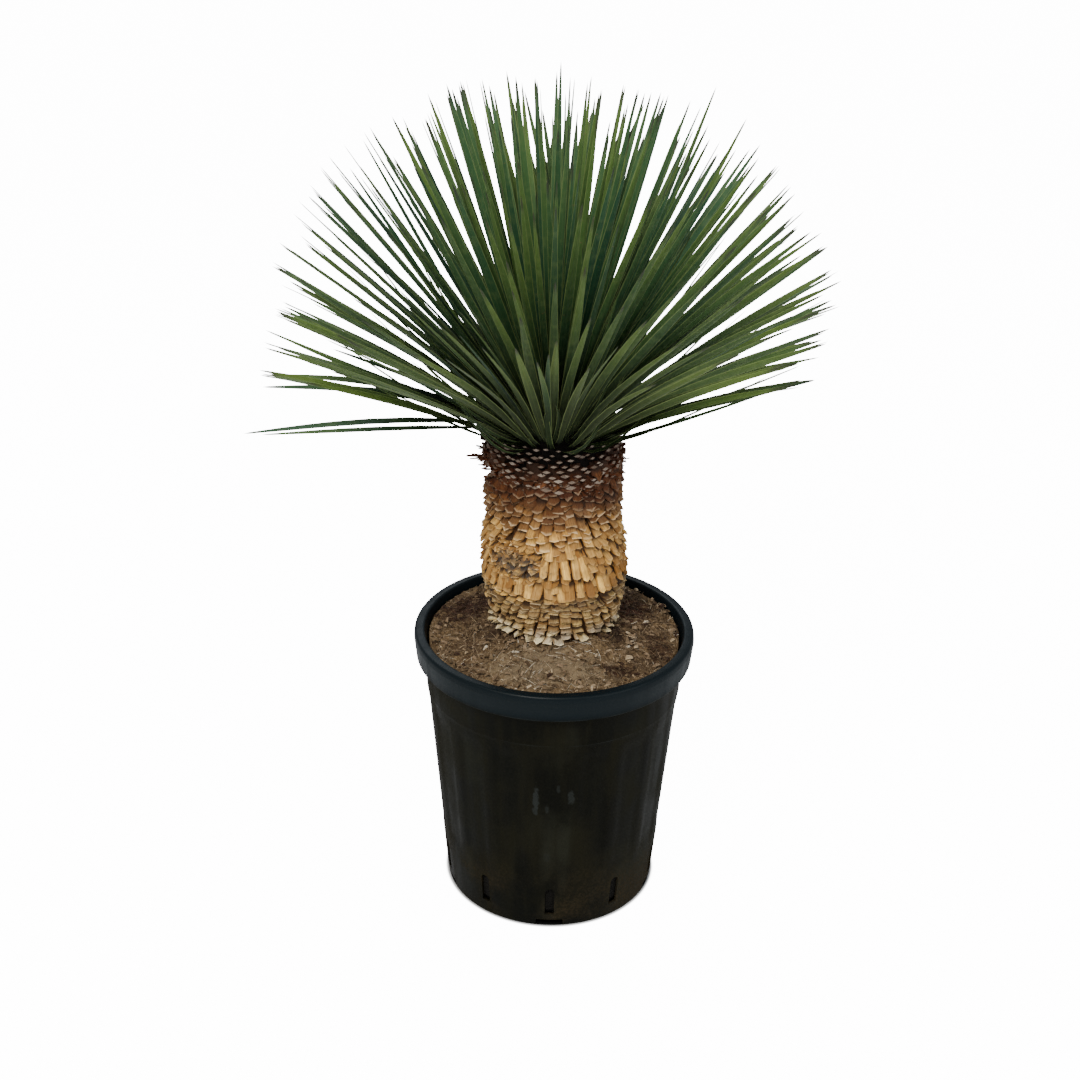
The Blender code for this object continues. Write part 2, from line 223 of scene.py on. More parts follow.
class CollarLook(bpy.types.PropertyGroup):
    rows: bpy.props.IntProperty(name="Rows", description="Rows of cut stubs", default=9, min=1)
    stubs: bpy.props.IntProperty(name="Stubs", description="Stubs in one row", default=38, min=3)
    bark: colour_setting("Bark", "Colour of the stubs' sides", (0.046, 0.013, 0.004))
    cut: colour_setting("Cut", "Colour of the cut ends", (0.42, 0.34, 0.27))


class LeafLook(bpy.types.PropertyGroup):
    width: bpy.props.FloatProperty(
        name="Width", description="Width of a leaf at its widest",
        default=0.0130, max=0.03, **LENGTH,
    )
    thin_leaves: bpy.props.IntProperty(
        name="Thin leaves", description="Number of narrow leaves between the others", default=150, min=0,
    )
    old: colour_setting("Old", "Colour of the lowest leaves", (0.085, 0.120, 0.020))
    grown: colour_setting("Grown", "Colour of the full-grown leaves", (0.026, 0.082, 0.038))
    young: colour_setting("Young", "Colour of the leaves round the heart", (0.040, 0.100, 0.040))
    sunlit: colour_setting("Sunlit", "Colour of the outer half of some leaves", (0.130, 0.200, 0.028))
    margin: colour_setting("Margin", "Colour of the thin horny margins", (0.250, 0.320, 0.110))


class StageLook(bpy.types.PropertyGroup):
    floor: colour_setting("Floor", "Colour of the floor", (0.86, 0.86, 0.86))
    key: bpy.props.FloatProperty(
        name="Key light", description="Power of the large light above the front", default=95.0, min=0.0,
        unit="POWER",
    )
    sky: bpy.props.FloatProperty(
        name="Sky light", description="Strength of the light from all round", default=0.55, min=0.0,
    )


# Modelling by hand


def put_all_down():
    """Leaves edit mode and deselects every object."""
    if bpy.context.object and bpy.context.object.mode != "OBJECT":
        bpy.ops.object.mode_set(mode="OBJECT")
    bpy.ops.object.select_all(action="DESELECT")


def settle_origin(thing):
    """Puts the object's place into its mesh."""
    thing.data.transform(thing.matrix_world)
    thing.matrix_world = Matrix.Identity(4)


def start(name, maker, settled=False, **size):
    """Adds one primitive, names it, and opens it in edit mode."""
    put_all_down()
    maker(**size)
    made = bpy.context.object
    if settled:
        settle_origin(made)
    made.name = name
    made.data.name = name
    bpy.ops.object.mode_set(mode="EDIT")
    return made


def pick(thing, chosen, kind="VERT"):
    """Selects the corners or faces of an open mesh whose place passes the test."""
    bpy.ops.mesh.select_mode(type=kind)
    bpy.ops.mesh.select_all(action="DESELECT")
    bm = bmesh.from_edit_mesh(thing.data)
    if kind == "VERT":
        for vertex in bm.verts:
            vertex.select_set(chosen(vertex.co))
    else:
        for face in bm.faces:
            face.select_set(chosen(face.calc_center_median()))
    bm.select_flush_mode()
    bmesh.update_edit_mesh(thing.data)


def resize(value, centre=(0.0, 0.0, 0.0)):
    """Scales what is selected from a centre."""
    bpy.ops.transform.resize(value=value, center_override=centre)


def cut_across(place, normal):
    """Cuts the whole open mesh at a plane, and keeps both sides."""
    bpy.ops.mesh.select_all(action="SELECT")
    bpy.ops.mesh.bisect(plane_co=place, plane_no=normal)


def finish_shell(thing, smooth_angle):
    """Merges doubles, turns the faces outwards, closes edit mode, shades, and settles the origin."""
    bpy.ops.mesh.select_mode(type="VERT")
    bpy.ops.mesh.select_all(action="SELECT")
    bpy.ops.mesh.remove_doubles(threshold=0.000001)
    bpy.ops.mesh.normals_make_consistent(inside=False)
    bpy.ops.object.mode_set(mode="OBJECT")
    shade(thing, smooth_angle)
    settle_origin(thing)


def shade(thing, smooth_angle):
    """Shades smooth all edges whose faces meet at less than an angle, given in degrees."""
    bpy.ops.object.select_all(action="DESELECT")
    thing.select_set(True)
    bpy.context.view_layer.objects.active = thing
    bpy.ops.object.shade_smooth_by_angle(angle=math.radians(smooth_angle))


def turned_shell(name, outline, steps, smooth_angle):
    """Draws a ring out along an outline of (radius, height). A radius of 0 ends it in one point."""
    radius, height = outline[0]
    thing = start(
        name, bpy.ops.mesh.primitive_circle_add,
        vertices=steps, radius=radius, location=(0, 0, height), fill_type="TRIFAN",
    )
    pick(thing, lambda place: math.hypot(place.x, place.y) > 0.5 * radius)
    for next_radius, next_height in outline[1:]:
        bpy.ops.mesh.extrude_region_move(
            TRANSFORM_OT_translate={"value": (0, 0, next_height - height)},
        )
        height = next_height
        if next_radius == 0.0:
            bpy.ops.mesh.merge(type="CENTER")
            break
        share = next_radius / radius
        resize((share, share, 1), (0, 0, height))
        radius = next_radius
    finish_shell(thing, smooth_angle)
    return thing


def rounded(outline, corner_steps=5):
    """Replaces each corner that has a radius by an arc. Corners are (radius, height, rounding)."""
    points = []
    for index, (x, z, rounding) in enumerate(outline):
        here = Vector((x, z))
        if not rounding:
            points.append((x, z))
            continue
        back = Vector(outline[index - 1][:2]) - here
        onward = Vector(outline[index + 1][:2]) - here
        half = back.angle(onward) / 2
        cut = min(rounding / math.tan(half), 0.49 * back.length, 0.49 * onward.length)
        first = here + cut * back.normalized()
        last = here + cut * onward.normalized()
        for step in range(corner_steps + 1):
            t = step / corner_steps
            place = (1 - t) ** 2 * first + 2 * t * (1 - t) * here + t * t * last
            points.append((place.x, place.y))
    return points


# Copies of one blank


class Blank:
    """A shape that is modelled once, as arrays of its points, corners and the marks on them."""

    def __init__(self, thing):
        mesh = thing.data
        self.points = np.empty(3 * len(mesh.vertices))
        mesh.vertices.foreach_get("co", self.points)
        self.points = self.points.reshape(-1, 3)
        self.corners = np.empty(len(mesh.loops), dtype=np.int64)
        mesh.loops.foreach_get("vertex_index", self.corners)
        self.sizes = np.empty(len(mesh.polygons), dtype=np.int64)
        mesh.polygons.foreach_get("loop_total", self.sizes)
        self.marked = np.array([face.select for face in mesh.polygons], dtype=float)
        bpy.data.objects.remove(thing)


def joined_copies(name, blank, copies, marks, uv=None, face_mark=None):
    """One mesh of many copies. marks names attributes that have one value for each copy."""
    count = len(copies)
    if uv is None:
        uv = np.zeros((len(blank.points), 2))
    points = np.concatenate(copies)
    shift = np.repeat(np.arange(count) * len(blank.points), len(blank.corners))
    corners = np.tile(blank.corners, count) + shift
    sizes = np.tile(blank.sizes, count)
    starts = np.concatenate(([0], np.cumsum(sizes)[:-1]))
    mesh = bpy.data.meshes.new(name)
    mesh.vertices.add(len(points))
    mesh.vertices.foreach_set("co", points.ravel())
    mesh.loops.add(len(corners))
    mesh.loops.foreach_set("vertex_index", corners)
    mesh.polygons.add(len(sizes))
    mesh.polygons.foreach_set("loop_start", starts)
    mesh.polygons.foreach_set("loop_total", sizes)
    mesh.update(calc_edges=True)
    layer = mesh.uv_layers.new(name="Along")
    layer.data.foreach_set("uv", np.tile(uv[blank.corners], (count, 1)).ravel())
    for mark, values in marks.items():
        attribute = mesh.attributes.new(mark, "FLOAT", "POINT")
        attribute.data.foreach_set("value", np.repeat(np.array(values, dtype=float), len(blank.points)))
    if face_mark:
        attribute = mesh.attributes.new(face_mark, "FLOAT", "FACE")
        attribute.data.foreach_set("value", np.tile(blank.marked, count))
    made = bpy.data.objects.new(name, mesh)
    bpy.context.scene.collection.objects.link(made)
    return made


def leaned(points):
    """The plant leans a little to the left above the soil."""
    points[:, 0] -= LEAN * np.maximum(0.0, points[:, 2] - TRUNK_BOTTOM)
    return points


# Finishes


class Finish:
    """Short calls for the nodes of one material or one shader group."""

    def __init__(self, tree):
        self.tree = tree
        self.shader = None
        self.output = None

    def add(self, kind, inputs=None, **settings):
        made = self.tree.nodes.new(kind)
        for name, value in settings.items():
            setattr(made, name, value)
        for name, value in (inputs or {}).items():
            self.put(made.inputs[name], value)
        return made

    def put(self, socket, value):
        if isinstance(value, bpy.types.NodeSocket):
            self.tree.links.new(value, socket)
        elif socket.type == "RGBA" and len(value) == 3:
            socket.default_value = (*value, 1.0)
        else:
            socket.default_value = value

    def maths(self, kind, first, second=0.0, clamp=False):
        made = self.add("ShaderNodeMath", {0: first, 1: second}, operation=kind, use_clamp=clamp)
        return made.outputs[0]

    def plus(self, first, second, clamp=False):
        return self.maths("ADD", first, second, clamp)

    def product(self, first, *factors):
        for factor in factors:
            first = self.maths("MULTIPLY", first, factor)
        return first

    def off(self, value, middle):
        """How far a value lies from another, to either side."""
        return self.maths("ABSOLUTE", self.maths("SUBTRACT", value, middle))

    def mix(self, share, first, second, blend="MIX"):
        made = self.add("ShaderNodeMix", data_type="RGBA", blend_type=blend)
        self.put(made.inputs[0], share)
        self.put(made.inputs[6], first)
        self.put(made.inputs[7], second)
        return made.outputs[2]

    def over(self, mask, strength, colour, tint):
        """Lays a tint over a colour where the mask is, at the given strength."""
        return self.mix(self.product(mask, strength), colour, tint)

    def between(self, value, low, high, low_result=0.0, high_result=1.0, smooth=True):
        made = self.add(
            "ShaderNodeMapRange",
            {"Value": value, "From Min": low, "From Max": high, "To Min": low_result, "To Max": high_result},
            interpolation_type="SMOOTHSTEP" if smooth else "LINEAR",
        )
        return made.outputs["Result"]

    def ramp(self, value, stops):
        made = self.add("ShaderNodeValToRGB", {"Fac": value})
        marks = made.color_ramp.elements
        while len(marks) < len(stops):
            marks.new(0.5)
        for mark, (place, colour) in zip(marks, stops):
            mark.position = place
            mark.color = (*colour, 1.0)
        return made.outputs["Color"]

    def use(self, group, **inputs):
        made = self.add("ShaderNodeGroup", node_tree=bpy.data.node_groups[group])
        for name, value in inputs.items():
            self.put(made.inputs[name.replace("_", " ").capitalize()], value)
        return made.outputs[0]

    def mottle(self, place, **values):
        return self.use("Mottle", place=place, **values)

    def spotted(self, colour, place, middle, size, tint, strength, ragged):
        """Lays one soft oval mark over a colour."""
        mask = self.use("Spot", place=place, middle=middle, size=size, ragged=ragged)
        return self.over(mask, strength, colour, tint)

    def place(self):
        return self.add("ShaderNodeTexCoord").outputs["Object"]

    def axes(self, place):
        return self.add("ShaderNodeSeparateXYZ", {0: place}).outputs

    def stretched(self, place, share):
        """The place for a pattern that runs on upwards."""
        return self.add("ShaderNodeMapping", {"Vector": place, "Scale": (1.0, 1.0, share)}).outputs[0]

    def attribute(self, name):
        return self.add("ShaderNodeAttribute", attribute_name=name).outputs["Fac"]

    def along(self):
        """The piece's own map: across and along a leaf or leaf base."""
        parts = self.axes(self.add("ShaderNodeUVMap", uv_map="Along").outputs[0])
        return parts[0], parts[1]

    def settle(self, colour, roughness, specular, relief, strength, depth):
        """Feeds the shader its colour, roughness and specular level, and the bump of its relief."""
        bump = self.add("ShaderNodeBump", {"Height": relief, "Strength": strength, "Distance": depth})
        self.put(self.shader["Base Color"], colour)
        self.put(self.shader["Roughness"], roughness)
        self.put(self.shader["Specular IOR Level"], specular)
        self.put(self.shader["Normal"], bump.outputs["Normal"])


def toned(colour, *gains):
    """A colour whose parts are multiplied, all by one gain or each by its own."""
    return tuple(part * gain for part, gain in zip(colour, 3 * gains))


def new_group(name, output, **inputs):
    """A shader group with one named output. Its inputs are numbers with a default, or else vectors."""
    tree = bpy.data.node_groups.new(name, "ShaderNodeTree")
    for label, default in inputs.items():
        kind = "NodeSocketVector" if default is None else "NodeSocketFloat"
        socket = tree.interface.new_socket(label, in_out="INPUT", socket_type=kind)
        if default is not None:
            socket.default_value = default
    tree.interface.new_socket(output, in_out="OUTPUT", socket_type="NodeSocketFloat")
    finish = Finish(tree)
    entry = finish.add("NodeGroupInput")
    leave = finish.add("NodeGroupOutput")
    return finish, entry.outputs, leave.inputs[0]


def build_mottle():
    """Soft spots: a noise whose contrast is set, from 0 to 1."""
    finish, given, result = new_group("Mottle", "Spots", Place=None, Size=20.0, Detail=4.0, Low=0.3, High=0.7)
    spots = finish.add(
        "ShaderNodeTexNoise", {"Vector": given["Place"], "Scale": given["Size"], "Detail": given["Detail"]},
    )
    finish.put(result, finish.between(spots.outputs["Fac"], given["Low"], given["High"]))


def build_fibres():
    """Fine lines that run along a leaf or leaf base, other ones on each copy."""
    finish, given, result = new_group(
        "Fibres", "Lines", Across=0.0, Along=0.0, Copy=0.0, Count=12.0, Length=2.0,
    )
    across = finish.product(given["Across"], given["Count"])
    along = finish.product(given["Along"], given["Length"])
    copy = finish.product(given["Copy"], 57.0)
    place = finish.add("ShaderNodeCombineXYZ", {0: across, 1: along, 2: copy}).outputs[0]
    lines = finish.add("ShaderNodeTexNoise", {"Vector": place, "Scale": 1.0, "Detail": 3.0})
    finish.put(result, finish.between(lines.outputs["Fac"], 0.28, 0.72))


def build_spot():
    """One soft oval mark round a place on the front."""
    finish, given, result = new_group("Spot", "Mask", Place=None, Middle=None, Size=None, Ragged=0.5)
    offset = finish.add("ShaderNodeVectorMath", {0: given["Place"], 1: given["Middle"]}, operation="SUBTRACT")
    share = finish.add("ShaderNodeVectorMath", {0: offset.outputs[0], 1: given["Size"]}, operation="DIVIDE")
    distance = finish.add("ShaderNodeVectorMath", {0: share.outputs[0]}, operation="LENGTH").outputs["Value"]
    rough = finish.add("ShaderNodeTexNoise", {"Vector": given["Place"], "Scale": 160.0, "Detail": 2.0})
    edge = finish.product(finish.maths("SUBTRACT", rough.outputs["Fac"], 0.5), given["Ragged"], 4.0)
    finish.put(result, finish.between(finish.plus(distance, edge), 1.1, 0.55))


def build_groups():
    build_mottle()
    build_fibres()
    build_spot()


def new_material(name):
    """A material with its Finish, whose shader is at hand."""
    made = bpy.data.materials.new(name)
    made.use_nodes = True
    made.node_tree.nodes.clear()
    finish = Finish(made.node_tree)
    shader = finish.add("ShaderNodeBsdfPrincipled")
    finish.shader = shader.inputs
    finish.output = finish.add("ShaderNodeOutputMaterial", {"Surface": shader.outputs["BSDF"]})
    return made, finish


def wear_finish(thing, made):
    thing.data.materials.clear()
    thing.data.materials.append(made)


def stand_for(thing, made, slot, *nodes):
    """The piece wears its finish, rides with the plant and stands for its solids. Its slot is not used."""
    wear_finish(thing, made)
    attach(thing, "root")
    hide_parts(*nodes)


# Pot


def wall_radius(height):
    return FOOT_RADIUS + WALL_SLOPE * height


def fade_heights(middle):
    """The heights of the rings at one end of the flutes."""
    return [middle - FLUTE_FADE + 2 * FLUTE_FADE / FADE_STEPS * number for number in range(FADE_STEPS + 1)]


def pot_outline():
    """From the middle of the floor up inside, over the rim, down outside and under to the middle."""
    rim_bottom = POT_HEIGHT - RIM_DEPTH
    foot_inside = FOOT_RADIUS - FOOT_WIDTH
    ladder = [*fade_heights(FLUTE_BOTTOM), 0.150, 0.195, 0.240, 0.285, *fade_heights(FLUTE_TOP)]
    corners = [
        (FLOOR_HUB, FLOOR_TOP, 0.0),
        (wall_radius(FLOOR_TOP) - WALL, FLOOR_TOP, 0.007),
        (wall_radius(FLUTE_TOP) - WALL, FLUTE_TOP, 0.010),
        (NECK_RADIUS - NECK_WALL, NECK_BOTTOM + WALL, 0.010),
        (NECK_RADIUS - NECK_WALL + WALL, POT_HEIGHT - RIM_CORNER - WALL, 0.008),
        (RIM_RADIUS - RIM_ROLL, POT_HEIGHT, 0.004),
        (RIM_RADIUS - 0.001, POT_HEIGHT, 0.006),
        (RIM_RADIUS, POT_HEIGHT - 1.3 * RIM_CORNER, 0.006),
        (RIM_RADIUS - 0.2 * RIM_ROLL, rim_bottom, 0.0013),
        (NECK_RADIUS + 0.0012, rim_bottom - 0.001, 0.0015),
        (NECK_RADIUS - 0.2 * NECK_WALL, NECK_BOTTOM + 0.001, 0.0015),
        (wall_radius(FLUTE_TOP + FLUTE_FADE) + 0.0004, FLUTE_TOP + FLUTE_FADE + 0.003, 0.003),
        *((wall_radius(height), height, 0.0) for height in reversed(ladder)),
        (wall_radius(0.050), 0.050, 0.0),
        (wall_radius(NOTCH_HEIGHT), NOTCH_HEIGHT, 0.0),
        (FOOT_RADIUS - 0.0008, 0.0, 0.0012),
        (foot_inside, 0.0, 0.0012),
        (foot_inside - 0.001, FLOOR_UNDER, 0.002),
        (FLOOR_HUB, FLOOR_UNDER, 0.0),
        (0.0, FLOOR_UNDER, 0.0),
    ]
    return rounded(corners, 4)


def press_flutes(pot, depth):
    """Flat flutes with soft shoulders lie back between narrow ribs."""
    tolerance = 0.0003
    for vertex in pot.data.vertices:
        radius = math.hypot(vertex.co.x, vertex.co.y)
        if abs(radius - wall_radius(vertex.co.z)) > tolerance:
            continue
        turn = math.atan2(vertex.co.y, vertex.co.x) / math.tau * FLUTES
        from_rib = min(turn % 1.0, 1.0 - turn % 1.0)
        across = min(max((from_rib - RIB_HALF) / SHOULDER, 0.0), 1.0)
        above = (vertex.co.z - FLUTE_BOTTOM + FLUTE_FADE) / (2 * FLUTE_FADE)
        below = (FLUTE_TOP + FLUTE_FADE - vertex.co.z) / (2 * FLUTE_FADE)
        upright = min(max(min(above, below), 0.0), 1.0)
        pressed = across * across * (3 - 2 * across) * upright * upright * (3 - 2 * upright)
        vertex.co.xy *= 1.0 - depth * pressed / radius


def front_turn(index, count):
    return math.tau * index / count + FRONT


def add_cutter(cutters, maker, azimuth, reach, height, scale, turn=(0.0, 0.0, 0.0), **size):
    """One cutting block, whose X lies outwards."""
    put_all_down()
    maker(rotation=turn, **size)
    made = bpy.context.object
    made.data.transform(Matrix.Rotation(azimuth, 4, "Z") @ Matrix.Translation((reach, 0, height))
                        @ Matrix.Diagonal((*scale, 1.0)) @ made.matrix_world)
    made.matrix_world = Matrix.Identity(4)
    cutters.append(made)


def cut_drains(pot):
    """Cuts the upright slots low in the wall and the notches under the foot."""
    cutters = []
    middle = (SLOT_LOW + SLOT_HIGH) / 2
    cube = bpy.ops.mesh.primitive_cube_add
    for index in range(DRAIN_SLOTS):
        azimuth = front_turn(index, DRAIN_SLOTS)
        size = (CUTTER_DEPTH, SLOT_WIDTH, SLOT_HIGH - SLOT_LOW)
        add_cutter(cutters, cube, azimuth, wall_radius(middle), middle, size, size=1.0)
        add_cutter(
            cutters, bpy.ops.mesh.primitive_cylinder_add, azimuth, wall_radius(middle), SLOT_HIGH, (1, 1, 1),
            turn=(0.0, math.pi / 2, 0.0), vertices=24, radius=0.498 * SLOT_WIDTH, depth=1.02 * CUTTER_DEPTH,
        )
    for index in range(FOOT_NOTCHES):
        azimuth = front_turn(index, FOOT_NOTCHES)
        size = (CUTTER_DEPTH, NOTCH_WIDTH, 2 * NOTCH_HEIGHT)
        add_cutter(cutters, cube, azimuth, FOOT_RADIUS - FOOT_WIDTH / 2, 0.0, size, size=1.0)
    put_all_down()
    group = bpy.data.collections.new("cutters")
    for made in cutters:
        group.objects.link(made)
    cut = pot.modifiers.new("Drains", "BOOLEAN")
    cut.operation = "DIFFERENCE"
    cut.solver = "EXACT"
    cut.operand_type = "COLLECTION"
    cut.collection = group
    cut.use_self = True
    bpy.context.view_layer.objects.active = pot
    bpy.ops.object.modifier_apply(modifier=cut.name)
    for made in cutters:
        bpy.data.objects.remove(made)
    bpy.data.collections.remove(group)


SCUFFS = (  # middle, size and strength of the worn marks on the front of the wall
    ((-0.0253, -0.194, 0.258), (0.0052, 0.030, 0.031), 0.75),
    ((0.0300, -0.194, 0.266), (0.0060, 0.030, 0.016), 0.55),
    ((0.0100, -0.196, 0.283), (0.0035, 0.030, 0.008), 0.40),
    ((-0.0072, -0.194, 0.240), (0.0035, 0.030, 0.010), 0.40),
    ((-0.0056, -0.186, 0.144), (0.0060, 0.030, 0.010), 0.20),
)
EDGE_HIGHLIGHTS = (  # height, half width and strength of the pale lines round the rim and under the band: painted highlights on these edges
    (0.4225, 0.0013, 0.75), (0.3665, 0.0011, 0.40), (0.4120, 0.0020, 0.10),
)


def pot_finish(look):
    """Black moulded plastic, satin, with dull streaks, dust low down, scuffs, painted edge highlights and a
    painted sky reflection.
    """
    made, finish = new_material("black_plastic")
    place = finish.place()
    height = finish.axes(place)[2]
    upright = finish.stretched(place, 0.09)
    streaks = finish.mottle(upright, size=46.0, detail=5.0, low=0.42, high=0.72)
    clouds = finish.mottle(place, size=9.0, detail=6.0, low=0.40, high=0.66)
    grains = finish.mottle(place, size=230.0, detail=3.0, low=0.35, high=0.75)
    warm = toned(look.dust, 0.42, 0.52, 0.50)
    smudge = (0.026, 0.029, 0.022)
    # pale serves both the scuffs and the painted highlights along the edges
    pale = (0.022, 0.025, 0.024)
    sky_reflection = (0.0022, 0.0062, 0.0095)
    colour = finish.over(streaks, 0.45, look.plastic, warm)
    on_wall = finish.between(height, 0.425, 0.395)
    haze = finish.product(clouds, on_wall, 0.70)
    colour = finish.mix(haze, colour, warm)
    smudges = finish.mottle(upright, size=19.0, detail=6.0, low=0.50, high=0.68)
    smudges = finish.product(smudges, clouds, on_wall)
    colour = finish.over(smudges, 0.30, colour, smudge)
    colour = finish.over(grains, 0.15, colour, warm)
    low = finish.between(height, 0.16, 0.0)
    splashed = finish.product(low, clouds, finish.plus(grains, 0.25))
    splashed = finish.maths("MULTIPLY", splashed, 1.1, clamp=True)
    colour = finish.mix(splashed, colour, look.dust)
    # Painted highlights: pale lines round the rim's edges and under the band, broken up by a mottle.
    highlight_breakup = finish.mottle(place, size=22.0, detail=5.0, low=0.38, high=0.62)
    for line, half_width, strength in EDGE_HIGHLIGHTS:
        mask = finish.between(finish.off(height, line), half_width, 0.2 * half_width)
        colour = finish.mix(finish.product(mask, highlight_breakup, strength), colour, pale)
    for middle, size, strength in SCUFFS:
        colour = finish.spotted(colour, place, middle, size, pale, strength, 0.35)
    # Painted reflection: the rim's outer band is tinted blue, as the sky seen in it.
    rim = finish.between(height, 0.416, 0.428)
    colour = finish.over(rim, 0.85, colour, sky_reflection)
    dull = finish.plus(finish.product(streaks, 0.16), finish.product(splashed, 0.3))
    dull = finish.plus(dull, finish.product(haze, 0.3))
    dull = finish.plus(dull, look.roughness, clamp=True)
    fine = finish.mottle(place, size=520.0, detail=2.0, low=0.2, high=0.8)
    finish.settle(colour, dull, 0.065, finish.plus(fine, finish.product(splashed, 2.0)), 0.25, 0.0004)
    finish.put(finish.shader["Specular Tint"], (1.0, 0.99, 0.82))
    finish.put(finish.shader["Coat Roughness"], 0.34)
    finish.put(finish.shader["Coat Tint"], (0.75, 0.93, 1.0))
    finish.put(finish.shader["Coat Weight"], finish.between(height, 0.418, 0.440, 0.0, 0.15))
    return made


class YUCCA_OT_pot(bpy.types.Operator):
    """Models the tapered nursery pot with its rolled rim, flutes and drain slots"""

    bl_idname = "yucca.pot"
    bl_label = "Pot"

    def execute(self, context):
        look = context.scene.yucca_pot
        pot = turned_shell("tapered_pot", pot_outline(), POT_STEPS, 30)
        press_flutes(pot, look.flute_depth)
        cut_drains(pot)
        shade(pot, 30)
        stand_for(pot, pot_finish(look), "pot_plastic", "nursery_pot")
        return {"FINISHED"}


# Soil


def soil_level(radius):
    return float(np.interp(radius, SOIL_RADII, SOIL_HEIGHTS))


def soil_height(x, y):
    """The height of the soil's top, with its lumps, clods and crumbs."""
    radius = math.hypot(x, y)
    height = soil_level(radius)
    place = Vector((x, y, height))
    calm = min(1.0, max(0.25, (radius - SOIL_TRUNK) / 0.02))
    calm *= min(1.0, max(0.3, (SOIL_EDGE - radius) / 0.008))
    lump = SOIL_LUMP * noise.noise(place * SOIL_GRAIN)
    clod = 0.0048 * noise.noise(place * 70.0)
    crumb = 0.0030 * abs(noise.noise(place * 170.0)) + 0.0012 * noise.noise(place * 420.0)
    return height + calm * (lump + clod) + crumb


SHADE_SPOTS = (  # middle, size, colour and strength of the dark spots of painted shade on the soil round the trunk
    ((0.112, 0.060, 0.470), (0.055, 0.065, 0.05), (0.050, 0.015, 0.007), 0.95),
    ((-0.132, 0.055, 0.465), (0.060, 0.065, 0.05), (0.040, 0.015, 0.008), 0.95),
    ((0.096, -0.133, 0.456), (0.034, 0.018, 0.05), (0.028, 0.010, 0.006), 0.90),
    ((0.165, -0.060, 0.456), (0.022, 0.045, 0.05), (0.040, 0.016, 0.009), 0.70),
    ((-0.085, -0.045, 0.475), (0.030, 0.025, 0.05), (0.040, 0.024, 0.016), 0.55),
    ((0.092, -0.050, 0.485), (0.018, 0.028, 0.05), (0.020, 0.010, 0.006), 0.90),
)
LITTER_SEED = 5
LITTER_RING = (0.094, 0.1985)
LITTER_EDGE = 0.2003  # nothing on the soil reaches further out
DRY_FRONT = -0.11  # the soil is drier in front of this
SHADE_TONE = 0.70  # how much darker the litter is painted in the spots of painted shade


def shade_at(x, y):
    """How deep the painted shade lies on the soil at a place, from 0 to 1."""
    return max(
        strength * math.exp(-((x - middle[0]) / size[0]) ** 2 - ((y - middle[1]) / size[1]) ** 2)
        for middle, size, _, strength in SHADE_SPOTS
    )


def soil_finish(look):
    """Dry peat with fibres, dark patches, painted shade round the trunk and below its top, and a reddish
    tinge where bark has rotted.
    """
    made, finish = new_material("dry_peat")
    place = finish.place()
    grains = finish.mottle(place, size=210.0, detail=6.0, low=0.30, high=0.70)
    crumbs = finish.mottle(place, size=70.0, detail=5.0, low=0.34, high=0.66)
    patches = finish.mottle(place, size=13.0, detail=4.0, low=0.40, high=0.64)
    fleck = finish.mottle(place, size=330.0, detail=2.0, low=0.62, high=0.72)
    dark = toned(look.peat, 0.24, 0.17, 0.11)
    colour = finish.mix(grains, dark, look.peat)
    colour = finish.over(crumbs, 0.45, colour, toned(look.peat, 1.5))
    colour = finish.over(patches, 0.55, colour, look.damp)
    # Painted shade: dark spots on the soil round the trunk.
    for middle, size, tint, strength in SHADE_SPOTS:
        colour = finish.spotted(colour, place, middle, size, tint, strength, 0.45)
    pale = toned(look.chaff, 0.55)
    colour = finish.spotted(colour, place, (-0.010, -0.140, 0.470), (0.120, 0.050, 0.05), pale, 0.6, 0.6)
    colour = finish.over(fleck, 0.6, colour, look.chaff)
    height = finish.axes(place)[2]
    # Painted shade: below its top, where it is seen only through the drain slots, the soil is near black.
    colour = finish.mix(finish.between(height, 0.40, 0.34), colour, (0.004, 0.003, 0.002))
    finish.settle(colour, 0.95, 0.2, finish.plus(grains, crumbs), 0.8, 0.0016)
    return made


class YUCCA_OT_soil(bpy.types.Operator):
    """Models the potting soil that fills the pot, mounded round the trunk"""

    bl_idname = "yucca.soil"
    bl_label = "Soil"

    def execute(self, context):
        outer = NECK_RADIUS - NECK_WALL - SEAM_GAP
        inner = 0.9 * STUMP_RADIUS
        radii = [inner + (outer - inner) * step / SOIL_RINGS for step in range(SOIL_RINGS + 1)]
        seam = WALL + SEAM_GAP
        floor = FLOOR_TOP + 0.0003
        behind_flutes = wall_radius(FLUTE_TOP) - seam - context.scene.yucca_pot.flute_depth
        outline = [(radius, soil_level(radius)) for radius in radii]
        outline += [
            (outer, NECK_BOTTOM + WALL), (behind_flutes, FLUTE_TOP - SEAM_GAP),
            (wall_radius(FLOOR_KNEE) - seam, FLOOR_KNEE),
            (wall_radius(FLOOR_TOP) - seam - FLOOR_CORNER, floor), (0.0, floor),
        ]
        soil = turned_shell("heaped_soil", outline, SOIL_STEPS, 180)
        for vertex in soil.data.vertices:
            radius = math.hypot(vertex.co.x, vertex.co.y)
            if vertex.co.z > 0.44 and inner * 0.5 < radius:
                vertex.co.z = soil_height(vertex.co.x, vertex.co.y)
        stand_for(soil, soil_finish(context.scene.yucca_soil), "soil", "potting_soil")
        return {"FINISHED"}


def chip_blank():
    """A flat, chipped crumb of bark, one unit long."""
    thing = start("chip_blank", bpy.ops.mesh.primitive_cube_add, size=1.0)
    pick(thing, lambda place: place.z > 0)
    resize((0.72, 0.6, 1.0), (0.0, 0.0, 0.5))
    pick(thing, lambda place: place.x > 0)
    resize((1.0, 0.6, 0.7), (0.5, 0.0, 0.0))
    cut_across((0.05, 0.0, 0.0), (1.0, 0.2, 0.0))
    pick(thing, lambda place: abs(place.x) < 0.2)
    bpy.ops.transform.translate(value=(0.0, 0.0, 0.12))
    bpy.ops.mesh.select_all(action="SELECT")
    resize((1.0, 0.55, 0.30))
    finish_shell(thing, 25)
    return Blank(thing)


